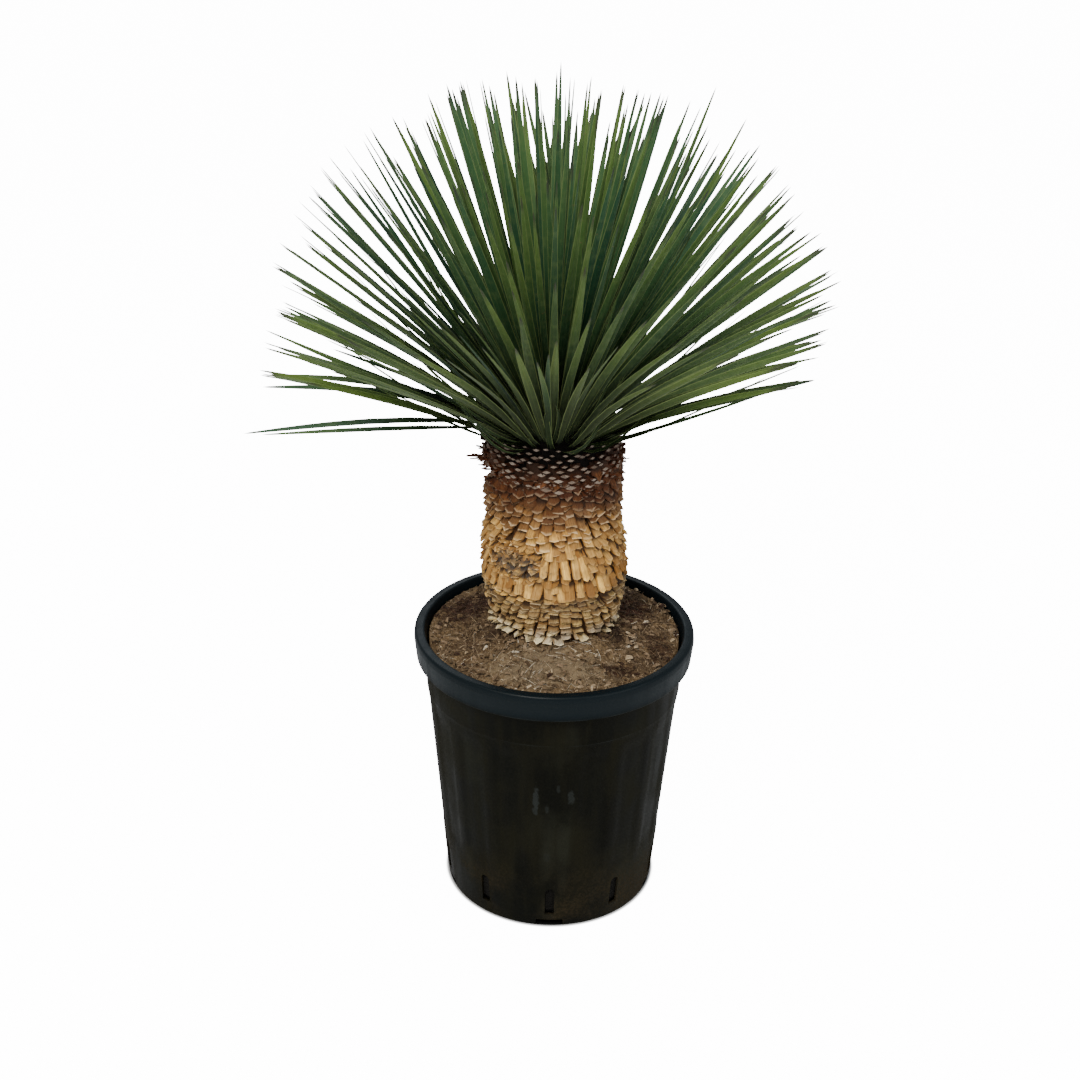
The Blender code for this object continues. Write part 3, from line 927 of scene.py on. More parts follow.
def straw_blank():
    """A fibre with three sides, one unit long and thinner at its ends. laid bows it upwards."""
    thing = start(
        "straw_blank", bpy.ops.mesh.primitive_cylinder_add,
        vertices=3, radius=0.5, depth=1.0, rotation=(0.0, math.pi / 2, 0.0),
    )
    for place in (-0.2, 0.15):
        cut_across((place, 0.0, 0.0), (1.0, 0.0, 0.0))
    pick(thing, lambda place: abs(place.x) > 0.4)
    resize((1.0, 0.45, 0.45))
    finish_shell(thing, 60)
    return Blank(thing)


def litter_spot(draw):
    """A place on the soil between the trunk and the pot."""
    inner, outer = LITTER_RING
    radius = math.sqrt(draw.uniform(inner * inner, outer * outer))
    azimuth = draw.uniform(0.0, math.tau)
    return radius * math.cos(azimuth), radius * math.sin(azimuth)


def laid(blank, draw, spot, size, bow=0.0):
    """One copy of a blank, laid on the soil. Fibres near each other lie much the same way."""
    x, y = spot
    flow = math.tau * noise.noise(Vector((x, y, 0.3)) * 13.0) + draw.gauss(0.0, 0.55)
    points = blank.points * np.array(size)
    points[:, 2] += bow * (0.25 - blank.points[:, 0] ** 2)
    turn = Euler((draw.uniform(-0.35, 0.35), draw.uniform(-0.35, 0.35), flow)).to_matrix()
    points = points @ np.array(turn).T
    sink = draw.uniform(-0.1, 0.7) * size[2]
    points += np.array((x, y, soil_height(x, y) + sink))
    reach = np.hypot(points[:, 0], points[:, 1]).max()
    if reach > LITTER_EDGE:
        points[:, :2] *= LITTER_EDGE / reach
    return points


def litter_finish(look):
    """Bark, chaff and straw, from dark brown to straw by each bit's tone."""
    made, finish = new_material("bark_and_chaff")
    place = finish.place()
    tone = finish.attribute("tone")
    grain = finish.mottle(place, size=260.0, detail=4.0, low=0.30, high=0.70)
    value = finish.plus(tone, finish.product(finish.maths("SUBTRACT", grain, 0.5), 0.22), clamp=True)
    colour = finish.ramp(value, (
        (0.0, (0.030, 0.013, 0.007)),
        (0.35, toned(look.peat, 0.75)),
        (0.62, (0.235, 0.158, 0.095)),
        (0.85, look.chaff),
        (1.0, (0.58, 0.52, 0.42)),
    ))
    finish.settle(colour, 0.88, 0.25, grain, 0.5, 0.0008)
    return made


class YUCCA_OT_litter(bpy.types.Operator):
    """Scatters crumbs of bark, chaff and straws over the soil"""

    bl_idname = "yucca.litter"
    bl_label = "Litter"

    def execute(self, context):
        look = context.scene.yucca_soil
        draw = random.Random(LITTER_SEED)
        made = litter_finish(look)
        chip = chip_blank()
        copies = []
        tones = []
        for _ in range(look.chips):
            length = 0.0035 + 0.0095 * draw.random() ** 2.4
            size = (length, length * draw.uniform(0.6, 1.2), length * draw.uniform(0.7, 1.3))
            spot = litter_spot(draw)
            copies.append(laid(chip, draw, spot, size))
            dry = 0.06 if spot[1] < DRY_FRONT else 0.0
            # Litter in the spots of painted shade is painted darker too.
            tones.append(min(0.93, max(0.0, draw.gauss(0.48 + dry, 0.24) - SHADE_TONE * shade_at(*spot))))
        chips = joined_copies("bark_crumbs", chip, copies, {"tone": tones})
        straw = straw_blank()
        copies = []
        tones = []
        for _ in range(look.straws):
            length = 0.008 + 0.034 * draw.random() ** 2.2
            thick = draw.uniform(0.0006, 0.0015)
            spot = litter_spot(draw)
            bow = draw.uniform(0.0, 0.35) * length
            copies.append(laid(straw, draw, spot, (length, thick, thick), bow))
            tones.append(min(1.0, max(0.0, draw.gauss(0.56, 0.26) - SHADE_TONE * shade_at(*spot))))
        straws = joined_copies("straws", straw, copies, {"tone": tones})
        for thing in (chips, straws):
            shade(thing, 35)
            stand_for(thing, made, "soil", "potting_soil")
        return {"FINISHED"}


# Trunk


def trunk_radius(height):
    """The smooth curve through the trunk's knots."""
    heights = [knot[0] for knot in TRUNK_KNOTS]
    last = len(heights) - 2
    index = min(max(sum(height >= level for level in heights) - 1, 0), last)
    low, high = TRUNK_KNOTS[index], TRUNK_KNOTS[index + 1]
    before = TRUNK_KNOTS[max(index - 1, 0)]
    after = TRUNK_KNOTS[min(index + 2, last + 1)]
    span = high[0] - low[0]
    slope_low = (high[1] - before[1]) / (high[0] - before[0]) * span
    slope_high = (after[1] - low[1]) / (after[0] - low[0]) * span
    t = min(max((height - low[0]) / span, 0.0), 1.0)
    blend = t * t * (3 - 2 * t)
    bend = t * (1 - t) * ((1 - t) * slope_low - t * slope_high)
    return low[1] + blend * (high[1] - low[1]) + bend


GIRTH_HEIGHTS = np.linspace(0.470, 0.830, 181)
GIRTH_RADII = np.array([trunk_radius(height) for height in GIRTH_HEIGHTS])

BASE_SECTIONS = (  # share of the length, half width, and how much of the stand it takes
    (0.00, 0.86, 0.00),
    (0.40, 0.97, 0.16),
    (0.72, 1.00, 0.46),
    (0.90, 0.98, 0.80),
    (1.00, 0.90, 1.06),
)
WEAR_MARKS = 24
TRUNK_SEED = 7
CORE_LEVELS = (0.480, 0.0066, 0.8125)  # where the core's rings start, their step, and its top
CORE_INSET = 0.0004


def leaf_base_blank():
    """A dry leaf base, one unit long: it hangs down from its root. LeafBase turns its lower end out."""
    thing = start(
        "leaf_base_blank", bpy.ops.mesh.primitive_cube_add,
        size=1.0, location=(0.0, 0.0, -0.5), scale=(2.0, 1.0, 1.0),
    )
    cut_across((0.0, 0.0, 0.0), (1.0, 0.0, 0.0))
    for share, _, _ in BASE_SECTIONS[1:-1]:
        cut_across((0.0, 0.0, -share), (0.0, 0.0, 1.0))
    bpy.ops.mesh.select_all(action="SELECT")
    bpy.ops.mesh.normals_make_consistent(inside=False)
    bpy.ops.object.mode_set(mode="OBJECT")
    settle_origin(thing)
    return Blank(thing)


@dataclass
class LeafBase:
    """The measures of one leaf base on the trunk. Its end is the height of its lower edge."""

    azimuth: float
    end: float
    length: float
    half_width: float
    stand: float
    thickness: float
    slant: float
    point: float
    ragged: float
    draw: random.Random

    def __post_init__(self):
        self.wear = np.array([self.draw.uniform(-self.ragged, self.ragged) for _ in range(WEAR_MARKS)])
        self.crown = self.draw.uniform(0.25, 0.85)
        self.cup = self.draw.uniform(-0.3, 0.5)

    def points(self, blank):
        x, y, share = blank.points[:, 0], blank.points[:, 1], -blank.points[:, 2]
        shares, widths, stands = zip(*BASE_SECTIONS)
        wide = np.interp(share, shares, widths)
        out = np.interp(share, shares, stands)
        column = np.clip(np.round(x + 1).astype(int), 0, 2)
        row = np.searchsorted(np.array(shares) + 0.01, share)
        wear = self.wear[(column + 3 * row) % WEAR_MARKS]
        at_end = share > 0.95
        drop = share + np.where(at_end, 0.9 * wear, 0.25 * wear * (share > 0.05))
        drop -= self.point * 0.34 * np.abs(x) * np.maximum(0.0, share - 0.6) / 0.4
        wide = wide * (1.0 - self.point * 0.45 * at_end)
        height = self.end + self.length * (1.0 - drop)
        sideways = self.half_width * (x * wide * (1 + 0.5 * wear)) + self.slant * (share - 0.5) * self.length
        thick = self.thickness * (1.0 - 0.35 * np.abs(x)) * np.interp(share, (0, 0.7, 1), (0.9, 1.0, 0.75))
        lift = self.stand * (out + wear * 0.35 * share) + self.cup * self.thickness * np.abs(x) * share
        girth = np.interp(height, GIRTH_HEIGHTS, GIRTH_RADII)
        radius = girth + lift + (y + self.crown * (1 - np.abs(x))) * thick
        angle = self.azimuth + sideways / girth
        return np.stack((radius * np.cos(angle), radius * np.sin(angle), height), axis=1)


def wrapped(angle):
    """The angle, between minus and plus half a turn."""
    return (angle + math.pi) % math.tau - math.pi


def within(low, high):
    """A test that an azimuth lies between two angles in degrees."""
    return lambda azimuth: math.radians(low) < wrapped(azimuth) < math.radians(high)


def outside(*tests):
    """A test that an azimuth passes none of some other tests."""
    return lambda azimuth: not any(test(azimuth) for test in tests)


IN_PATCH = within(-153, -101)  # where the long strips have broken off
ON_RIGHT = within(-66, 30)
ON_ARC = within(-112, -58)
OFF_LEFT = within(-112, 168.54)
AT_LEFT = outside(OFF_LEFT)
AT_SIDES = outside(within(-132, -48))


def column_slope(azimuth):
    """How far a column of leaf bases moves to the right for each step up."""
    return -0.85 * math.sin(wrapped(azimuth) - FRONT - math.radians(3))


@dataclass
class Zone:
    """A stretch of the trunk whose leaf bases are alike. Heights are those of their lower ends."""

    kind: str
    bottom: float
    rows: int
    pitch: float
    columns: int
    length: float
    stands: tuple  # least and most, in shares of the stand in the settings
    thickness: float
    fill: float = 0.84
    slope: float = 1.0
    jitter: float = 0.0012
    point: tuple = (0.0, 0.15)
    ragged: float = 0.09
    missing: float = 0.04
    tone: tuple = (0.0, 0.3)  # mean and spread
    lip: tuple = (0.2, 0.6)
    where: object = outside()
    turn: float = 0.0
    shift: float = 0.05
    brick: bool = False
    tilt: float = 0.14


ZONES = (
    Zone("foot", 0.4875, 1, 0.006, 38, 0.0125, (0.60, 1.35), 0.0110, tone=(0.80, 0.35), lip=(0.6, 1.0),
         missing=0.10, jitter=0.0034, ragged=0.24, fill=0.92, point=(0.0, 0.5), shift=0.18, tilt=0.50),
    Zone("base", 0.4930, 11, 0.0067, 40, 0.0150, (0.25, 0.95), 0.0042, tone=(-0.05, 0.45), lip=(0.0, 0.7),
         fill=0.99, jitter=0.0022, ragged=0.11, missing=0.04, shift=0.09, tilt=0.25),
    Zone("under", 0.5640, 7, 0.0130, 40, 0.0210, (0.15, 0.50), 0.0036, tone=(-0.50, 0.35), lip=(0.0, 0.4),
         fill=0.94, jitter=0.0030, ragged=0.14, shift=0.06),
    Zone("strip", 0.5700, 1, 0.01, 42, 0.0330, (0.75, 1.10), 0.0044, slope=0.12, fill=0.90, jitter=0.0045,
         point=(0.0, 0.1), tone=(0.12, 0.60), lip=(0.0, 0.3), shift=0.12, tilt=0.16, missing=0.02,
         ragged=0.05),
    Zone("strip", 0.5840, 1, 0.01, 44, 0.0240, (0.90, 1.10), 0.0034, slope=0.12, fill=0.80, jitter=0.0060,
         point=(0.0, 0.2), tone=(-0.6, 0.40), lip=(0.0, 0.3), missing=0.60, turn=0.5),
    Zone("broken", 0.5930, 9, 0.0066, 38, 0.0150, (0.20, 1.20), 0.0034, where=IN_PATCH, ragged=0.30,
         jitter=0.004, tone=(-0.45, 0.55), lip=(0.0, 1.0), missing=0.12, fill=0.92, shift=0.2, tilt=0.9,
         point=(0.0, 0.9)),
    Zone("strip", 0.6060, 1, 0.01, 44, 0.0500, (0.85, 1.25), 0.0044, where=outside(IN_PATCH, ON_RIGHT),
         slope=0.12, fill=0.86, jitter=0.0070, point=(0.0, 0.1), tone=(0.55, 0.45), lip=(0.0, 0.3),
         missing=0.03, shift=0.14, ragged=0.05, tilt=0.2),
    Zone("strip", 0.6320, 1, 0.01, 44, 0.0290, (1.10, 1.40), 0.0040, where=outside(IN_PATCH, ON_RIGHT),
         slope=0.12, fill=0.84, jitter=0.0080, point=(0.0, 0.1), tone=(0.55, 0.45), lip=(0.2, 0.7), turn=0.5,
         missing=0.45, ragged=0.05),
    Zone("plank", 0.6010, 4, 0.0140, 42, 0.0300, (0.60, 1.15), 0.0042, where=ON_RIGHT, slope=0.30, fill=0.86,
         jitter=0.0050, point=(0.0, 0.3), tone=(-0.10, 0.50), lip=(0.0, 0.5), shift=0.12, tilt=0.22,
         ragged=0.06),
    Zone("plank", 0.6490, 5, 0.0138, 38, 0.0270, (0.65, 1.25), 0.0050, jitter=0.0026, tone=(-0.10, 0.55),
         lip=(0.2, 1.0), fill=0.96, ragged=0.12, shift=0.08, tilt=0.18, missing=0.02),
    Zone("arc", 0.6700, 1, 0.01, 40, 0.0150, (1.45, 1.80), 0.0060, where=ON_ARC, tone=(0.8, 0.2),
         lip=(0.9, 1.0), missing=0.10, jitter=0.0065, fill=0.85, tilt=0.5),
    Zone("jag", 0.7010, 6, 0.0108, 36, 0.0250, (0.55, 1.20), 0.0042, slope=0.35, fill=1.06, point=(0.1, 0.6),
         ragged=0.16, tone=(-0.10, 0.45), lip=(0.0, 0.5), missing=0.02, jitter=0.0026, tilt=0.2,
         where=OFF_LEFT),
    Zone("jag", 0.7030, 4, 0.0150, 34, 0.0270, (0.70, 1.45), 0.0040, slope=0.20, fill=1.60, point=(0.2, 0.8),
         ragged=0.10, tone=(-0.05, 0.35), lip=(0.0, 0.5), missing=0.0, jitter=0.0018, where=AT_LEFT,
         brick=True),
    Zone("jag", 0.7560, 2, 0.0110, 36, 0.0240, (0.50, 0.90), 0.0040, where=AT_SIDES, slope=0.35, fill=1.06,
         point=(0.1, 0.6), ragged=0.16, tone=(-0.3, 0.40), lip=(0.0, 0.4), jitter=0.0026, tilt=0.2),
)


def base_rise(kind, azimuth):
    """The rows of strips climb a little towards the left side."""
    most, middle, half_width = 0.008, math.radians(-178), 0.40
    off = wrapped(azimuth - middle) / half_width
    return most * math.exp(-off ** 2) if kind in ("strip", "broken") else 0.0


def side_shade(kind, azimuth):
    """How much darker the strips are between the front and the back."""
    off = abs(wrapped(azimuth - FRONT))
    return 1.6 * max(0.0, min(off - 0.85, 2.4 - off)) if kind == "strip" else 0.0


def trunk_bases(draw, top_stand):
    """All the leaf bases of the trunk with their marks, zone by zone from the foot up."""
    bases = []
    marks = {"tone": [], "copy": [], "lip": [], "shown": []}
    slope_height = 0.1  # the slopes are given for this much height
    for zone in ZONES:
        spacing = math.tau / zone.columns
        half_spacing = 0.5 * spacing * TRUNK_MEAN
        middle = zone.bottom + 0.5 * zone.rows * zone.pitch
        for column in range(zone.columns):
            column_width = draw.uniform(0.84, 1.08)
            for row in range(zone.rows):
                staggered = zone.rows > 1 and not zone.brick
                end = zone.bottom + zone.pitch * (row + 0.5 * (column % 2 if staggered else 0))
                home = spacing * (column + zone.turn + (0.5 * (row % 2) if zone.brick else 0.0))
                slope = zone.slope * column_slope(home)
                azimuth = home + slope * (end - middle) / slope_height
                azimuth += draw.uniform(-1.0, 1.0) * zone.shift * spacing
                if not zone.where(azimuth) or draw.random() < zone.missing:
                    continue
                end += draw.uniform(-1.0, 1.0) * zone.jitter + base_rise(zone.kind, azimuth)
                bases.append(LeafBase(
                    azimuth, end,
                    length=zone.length * draw.uniform(0.88, 1.12),
                    half_width=half_spacing * zone.fill * column_width * draw.uniform(0.94, 1.05),
                    stand=top_stand * draw.uniform(*zone.stands),
                    thickness=zone.thickness * draw.uniform(0.8, 1.2),
                    slant=-slope + draw.uniform(-zone.tilt, zone.tilt),
                    point=draw.uniform(*zone.point), ragged=zone.ragged, draw=draw,
                ))
                tone = draw.gauss(*zone.tone) - side_shade(zone.kind, azimuth)
                marks["tone"].append(max(-1.0, min(1.0, tone)))
                marks["copy"].append(draw.random())
                marks["lip"].append(draw.uniform(*zone.lip))
                marks["shown"].append(0.85 if zone.rows == 1 else min(0.9, zone.pitch / zone.length + 0.06))
    return bases, marks


def trunk_finish(look):
    """Dry fibrous leaf bases: grey-tan at the foot, straw, tan, russet under the cut stubs; painted shade
    between and under them.
    """
    made, finish = new_material("dry_leaf_bases")
    place = finish.place()
    height = finish.axes(place)[2]
    across, along = finish.along()
    tone = finish.attribute("tone")
    copy = finish.attribute("copy")
    drift = finish.mottle(place, size=16.0, detail=3.0, low=0.25, high=0.75)
    level = finish.plus(height, finish.product(finish.maths("SUBTRACT", drift, 0.5), 0.022))
    share = finish.between(level, 0.4865, 0.7600, smooth=False)
    colour = finish.ramp(share, (
        (0.00, (0.90, 0.83, 0.68)),
        (0.045, (0.74, 0.64, 0.47)),
        (0.08, look.base),
        (0.19, look.base),
        # painted shadow: a darker band just under the lowest strips' ends
        (0.265, toned(look.base, 0.50)),
        (0.31, look.straw),
        (0.60, look.straw),
        (0.70, look.tan),
        (0.80, [0.5 * (one + other) for one, other in zip(look.tan, look.russet)]),
        (0.91, look.russet),
    ))
    lines = finish.use("Fibres", across=across, along=along, copy=copy, count=9.0, length=1.6)
    spots = finish.mottle(place, size=120.0, detail=5.0, low=0.30, high=0.72)
    stains = finish.mottle(place, size=34.0, detail=4.0, low=0.48, high=0.70)
    dark = finish.mix(1.0, colour, (0.34, 0.22, 0.11), "MULTIPLY")
    light = finish.mix(1.0, colour, (1.75, 1.68, 1.25), "MULTIPLY")
    painted_shadow = (0.024, 0.009, 0.003)
    colour = finish.mix(finish.between(tone, -1.0, 0.45, 0.90, 0.0, smooth=False), colour, dark)
    colour = finish.mix(finish.between(tone, 0.0, 1.0, smooth=False), colour, light)
    colour = finish.over(lines, 0.60, colour, dark)
    colour = finish.over(spots, 0.36, colour, dark)
    colour = finish.over(stains, 0.40, colour, finish.mix(0.5, dark, (0.10, 0.08, 0.065)))
    # Painted shade: each leaf base darkens towards its sides, where the gaps between the bases lie.
    margin = finish.between(finish.off(across, 0.5), 0.30, 0.48)
    colour = finish.over(margin, 0.65, colour, dark)
    # The lower lip is painted pale: partly its bleached broken end, partly a painted highlight where the
    # turned-out end catches the light.
    lip = finish.product(finish.between(along, 0.90, 0.99), finish.attribute("lip"))
    pale = finish.mix(0.6, light, (0.90, 0.72, 0.48))
    colour = finish.over(lip, 0.85, colour, pale)
    # Painted shadow: each leaf base darkens to near black under the base above it, and a little below where
    # that one overlaps it.
    covered = finish.maths("SUBTRACT", finish.maths("SUBTRACT", 1.0, finish.attribute("shown")), along)
    shadow_from_above = finish.between(covered, -0.30, 0.06)
    colour = finish.over(shadow_from_above, 0.92, colour, painted_shadow)
    soot = (0.060, 0.056, 0.052)
    colour = finish.spotted(colour, place, (-0.060, -0.088, 0.618), (0.044, 0.040, 0.020), soot, 0.62, 0.8)
    finish.settle(colour, 0.78, 0.25, finish.plus(lines, finish.product(spots, 0.5)), 0.7, 0.0010)
    return made


BITE = (math.radians(183), 0.7320)  # azimuth and height of the bite under the collar's edge
BITE_HALF = (0.55, 0.0075)  # radians round the trunk, and height
BITE_SLANT = 0.46
BITE_DEPTH = 0.19  # share of the radius


def bitten(points):
    """Presses an array of points in where the bite is."""
    off = wrapped(np.arctan2(points[:, 1], points[:, 0]) - BITE[0]) / BITE_HALF[0]
    up = (points[:, 2] + BITE_SLANT * points[:, 1] - BITE[1]) / BITE_HALF[1]
    depth = BITE_DEPTH * np.exp(-(off * off + up * up) ** 2)
    points[:, :2] *= (1.0 - depth)[:, None]
    return points


def core_finish():
    """The dark felt of old fibres between the leaf bases, with painted shade behind the stubs."""
    made, finish = new_material("dark_felt")
    place = finish.place()
    fibres = finish.mottle(finish.stretched(place, 0.3), size=240.0, detail=5.0, low=0.3, high=0.7)
    felt = finish.mix(fibres, (0.022, 0.008, 0.003), (0.100, 0.044, 0.016))
    axes = finish.axes(place)
    crown_shadow = finish.between(axes[2], 0.735, 0.765)
    in_front = finish.between(finish.maths("ABSOLUTE", axes[0]), 0.100, 0.065, 0.55, 1.0)
    # Painted shadow of the crown: from the collar's lower part up, the felt behind the stubs turns near
    # black, most in front.
    felt = finish.over(crown_shadow, in_front, felt, (0.0035, 0.0022, 0.0014))
    finish.settle(felt, 0.95, 0.2, fibres, 0.8, 0.0015)
    return made


class YUCCA_OT_trunk(bpy.types.Operator):
    """Models the trunk's core and the dry leaf bases that lap over it like shingles"""

    bl_idname = "yucca.trunk"
    bl_label = "Trunk"

    def execute(self, context):
        look = context.scene.yucca_trunk
        low, step, high = CORE_LEVELS
        outline = [(0.030, STUMP_BOTTOM), (STUMP_RADIUS, STUMP_BOTTOM), (STUMP_RADIUS, low - 0.006)]
        levels = [low + step * number for number in range(51)]
        outline += [(trunk_radius(height) - CORE_INSET, height) for height in levels]
        outline += [(0.060, high), (0.0, high)]
        core = turned_shell("trunk_core", outline, 120, 45)
        for vertex in core.data.vertices:
            if vertex.co.z > 0.478 and math.hypot(vertex.co.x, vertex.co.y) > 0.08:
                vertex.co.xy *= 1.0 + 0.010 * noise.noise(vertex.co * 120.0)
            place = bitten(np.array([vertex.co]))
            vertex.co = leaned(place)[0]
        stand_for(core, core_finish(), "dry_leaf_bases", "trunk", "cut_stub_collar")
        draw = random.Random(TRUNK_SEED)
        blank = leaf_base_blank()
        uv = np.stack((0.5 + 0.5 * blank.points[:, 0], -blank.points[:, 2]), axis=1)
        laid_bases, marks = trunk_bases(draw, look.stand)
        copies = [leaned(bitten(base.points(blank))) for base in laid_bases]
        bases = joined_copies("dry_leaf_bases", blank, copies, marks, uv)
        shade(bases, 50)
        stand_for(bases, trunk_finish(look), "dry_leaf_bases", "trunk")
        return {"FINISHED"}


# Collar


STUB_FLATNESS = 0.42
STUB_ROOT = 0.006  # how deep a stub starts under the trunk's surface
COLLAR_SEED = 19


def stub_blank():
    """A cut stub, one unit long: a flat lens in section, its end sawn off square."""
    thing = start(
        "stub_blank", bpy.ops.mesh.primitive_cylinder_add, settled=True,
        vertices=8, radius=1.0, depth=1.0, location=(0.0, 0.5, 0.0), rotation=(-math.pi / 2, 0.0, 0.0),
    )
    bpy.ops.mesh.select_all(action="SELECT")
    resize((1.0, 1.0, STUB_FLATNESS))
    pick(thing, lambda place: abs(place.x) > 0.9)
    resize((1.15, 1.0, 1.0))
    pick(thing, lambda place: 0.5 < abs(place.x) < 0.9)
    resize((0.86, 1.0, 0.80))
    cut_across((0.0, 0.6, 0.0), (0.0, 1.0, 0.0))
    pick(thing, lambda place: place.y < 0.1)
    resize((1.15, 1.0, 1.5))
    pick(thing, lambda place: place.y > 0.95, "FACE")
    bpy.ops.mesh.inset(thickness=0.09, depth=0.0)
    bpy.ops.transform.translate(value=(0.0, 0.05, 0.0))
    bpy.ops.mesh.select_mode(type="FACE")
    bpy.ops.object.mode_set(mode="OBJECT")
    return Blank(thing)


def stub_points(blank, azimuth, height, half_width, half_height, stand, rise, turn, skew):
    """One stub that stands out of the collar. Its length starts inside the felt."""
    root = trunk_radius(height) - STUB_ROOT
    length = stand + STUB_ROOT
    x, y, z = blank.points.T
    lens_x = half_width * (x * math.cos(turn) - z * math.sin(turn))
    lens_z = half_height / STUB_FLATNESS * (x * math.sin(turn) * STUB_FLATNESS + z * math.cos(turn))
    out = length * y + skew * x * half_width * (y > 0.8)
    radius = root + out * math.cos(rise) - lens_z * math.sin(rise)
    level = height + out * math.sin(rise) + lens_z * math.cos(rise)
    angle = azimuth + lens_x / trunk_radius(height)
    return leaned(np.stack((radius * np.cos(angle), radius * np.sin(angle), level), axis=1))


def stub_finish(look):
    """Dark russet sides and pale sawn ends with a darker rim."""
    made, finish = new_material("cut_leaf_stubs")
    place = finish.place()
    tone = finish.attribute("tone")
    cut = finish.attribute("cut")
    axes = finish.axes(place)
    spots = finish.mottle(place, size=150.0, detail=5.0, low=0.28, high=0.72)
    grain = finish.mottle(place, size=520.0, detail=3.0, low=0.3, high=0.7)
    side = finish.mix(spots, look.bark, toned(look.bark, 2.6))
    shade_up = finish.between(axes[2], 0.752, 0.812)
    aside = finish.between(finish.maths("ABSOLUTE", axes[0]), 0.050, 0.095, 0.0, 0.8)
    side = finish.mix(aside, side, toned(look.bark, 3.4))
    side = finish.over(shade_up, 0.85, side, (0.004, 0.002, 0.0015))
    aged = finish.between(tone, -1.0, 0.8, 0.85, 0.0, smooth=False)
    end = finish.mix(aged, look.cut, (0.105, 0.058, 0.032))
    end = finish.over(grain, 0.40, end, (0.12, 0.085, 0.06))
    end = finish.over(shade_up, 0.35, end, (0.07, 0.055, 0.045))
    colour = finish.mix(cut, side, end)
    finish.settle(colour, 0.80, 0.3, finish.plus(spots, grain), 0.5, 0.0007)
    return made


STUBS_MISSING = 0.04
SIDE_RISE = 0.018  # how much higher the collar's lower edge is at the sides
FRAYS = 130  # dry fibres that stand out of the collar's lower half
STICK = (  # azimuth, height, half width, length and rise of the fibres of one torn stub on the left
    (184, 0.7600, 0.0030, 0.031, 0.05),
    (186, 0.7612, 0.0024, 0.024, 0.16),
    (182, 0.7586, 0.0026, 0.019, -0.12),
    (188, 0.7600, 0.0020, 0.027, 0.02),
)


class YUCCA_OT_collar(bpy.types.Operator):
    """Models the collar of freshly cut leaf stubs under the crown"""

    bl_idname = "yucca.collar"
    bl_label = "Collar of cut stubs"

    def execute(self, context):
        look = context.scene.yucca_collar
        draw = random.Random(COLLAR_SEED)
        blank = stub_blank()
        copies = []
        tones = []
        pitch = (COLLAR_TOP - COLLAR_BOTTOM + 0.006) / look.rows
        for row in range(look.rows):
            for index in range(look.stubs):
                azimuth = math.tau * (index + 0.5 * (row % 2) + draw.uniform(-0.09, 0.09)) / look.stubs
                if draw.random() < STUBS_MISSING:
                    continue
                height = COLLAR_BOTTOM - 0.003 + pitch * (row + draw.uniform(-0.14, 0.14))
                edge = COLLAR_BOTTOM - 0.005 + SIDE_RISE * min(1.0, 1.0 - math.cos(azimuth - FRONT))
                if height < edge:
                    continue
                size = draw.uniform(0.65, 1.10) * (1.40 - 0.60 * row / look.rows)
                copies.append(stub_points(
                    blank, azimuth, height, half_width=0.0056 * size, half_height=0.0028 * size,
                    stand=draw.uniform(0.0060, 0.0125), rise=draw.uniform(0.10, 0.55),
                    turn=draw.uniform(-0.18, 0.18), skew=draw.uniform(-0.25, 0.25),
                ))
                aside = abs(wrapped(azimuth - FRONT)) > math.radians(48)
                tones.append(draw.gauss(-0.9 if aside else -0.1, 0.55))
        for _ in range(FRAYS):
            azimuth = draw.uniform(0.0, math.tau)
            copies.append(stub_points(
                blank, azimuth, draw.uniform(0.738, 0.772), half_width=draw.uniform(0.0012, 0.0030),
                half_height=draw.uniform(0.0008, 0.0014), stand=draw.uniform(0.010, 0.019),
                rise=draw.uniform(-0.35, 0.35), turn=draw.uniform(-0.5, 0.5), skew=draw.uniform(-0.5, 0.5),
            ))
            tones.append(draw.gauss(-1.2, 0.3))
        for azimuth, height, half_width, stand, rise in STICK:
            copies.append(stub_points(
                blank, math.radians(azimuth), height, half_width, 0.6 * half_width, stand, rise, 0.2, 0.6,
            ))
            tones.append(-0.3)
        stubs = joined_copies("cut_stubs", blank, copies, {"tone": tones}, face_mark="cut")
        shade(stubs, 40)
        stand_for(stubs, stub_finish(look), "cut_leaf_stubs", "cut_stub_collar")
        return {"FINISHED"}


# Leaves


BLADE_SECTIONS = (  # share of the length, half width and half thickness, of the widest half width
    (0.00, 0.74, 0.24),
    (0.03, 0.68, 0.24),
    (0.09, 0.62, 0.20),
    (0.20, 0.82, 0.16),
    (0.34, 1.00, 0.13),
    (0.50, 0.98, 0.12),
    (0.64, 0.88, 0.11),
    (0.76, 0.72, 0.10),
    (0.86, 0.53, 0.10),
    (0.93, 0.36, 0.10),
    (0.975, 0.22, 0.10),
)
GUTTER = 0.30  # depth of the blade's fold, of its half width


def blade_blank():
    """A leaf, one unit long: a folded blade with a narrow neck and a long thin point."""
    thing = start(
        "blade_blank", bpy.ops.mesh.primitive_cone_add, settled=True,
        vertices=4, radius1=1.0, radius2=0.0, depth=1.0, location=(0.0, 0.0, 0.5),
    )
    for share, _, _ in BLADE_SECTIONS[1:]:
        cut_across((0.0, 0.0, share), (0.0, 0.0, 1.0))
    for share, half_width, half_thickness in BLADE_SECTIONS:
        left = 1.0 - share
        pick(thing, lambda place: abs(place.z - share) < 0.001)
        resize((half_width / left, half_thickness / left, 1.0), (0.0, 0.0, share))
        pick(thing, lambda place: abs(place.z - share) < 0.001 and abs(place.x) < 0.01)
        bpy.ops.transform.translate(value=(0.0, -GUTTER * half_width, 0.0))
    bpy.ops.object.mode_set(mode="OBJECT")
    return Blank(thing)


def leaf_axes(azimuth, elevation):
    """A leaf's direction, the way across its blade, and the way out of its upper side."""
    along = Vector((
        math.cos(elevation) * math.cos(azimuth), math.cos(elevation) * math.sin(azimuth), math.sin(elevation),
    ))
    side = Vector((-math.sin(azimuth), math.cos(azimuth), 0.0))
    return along, side, along.cross(side)


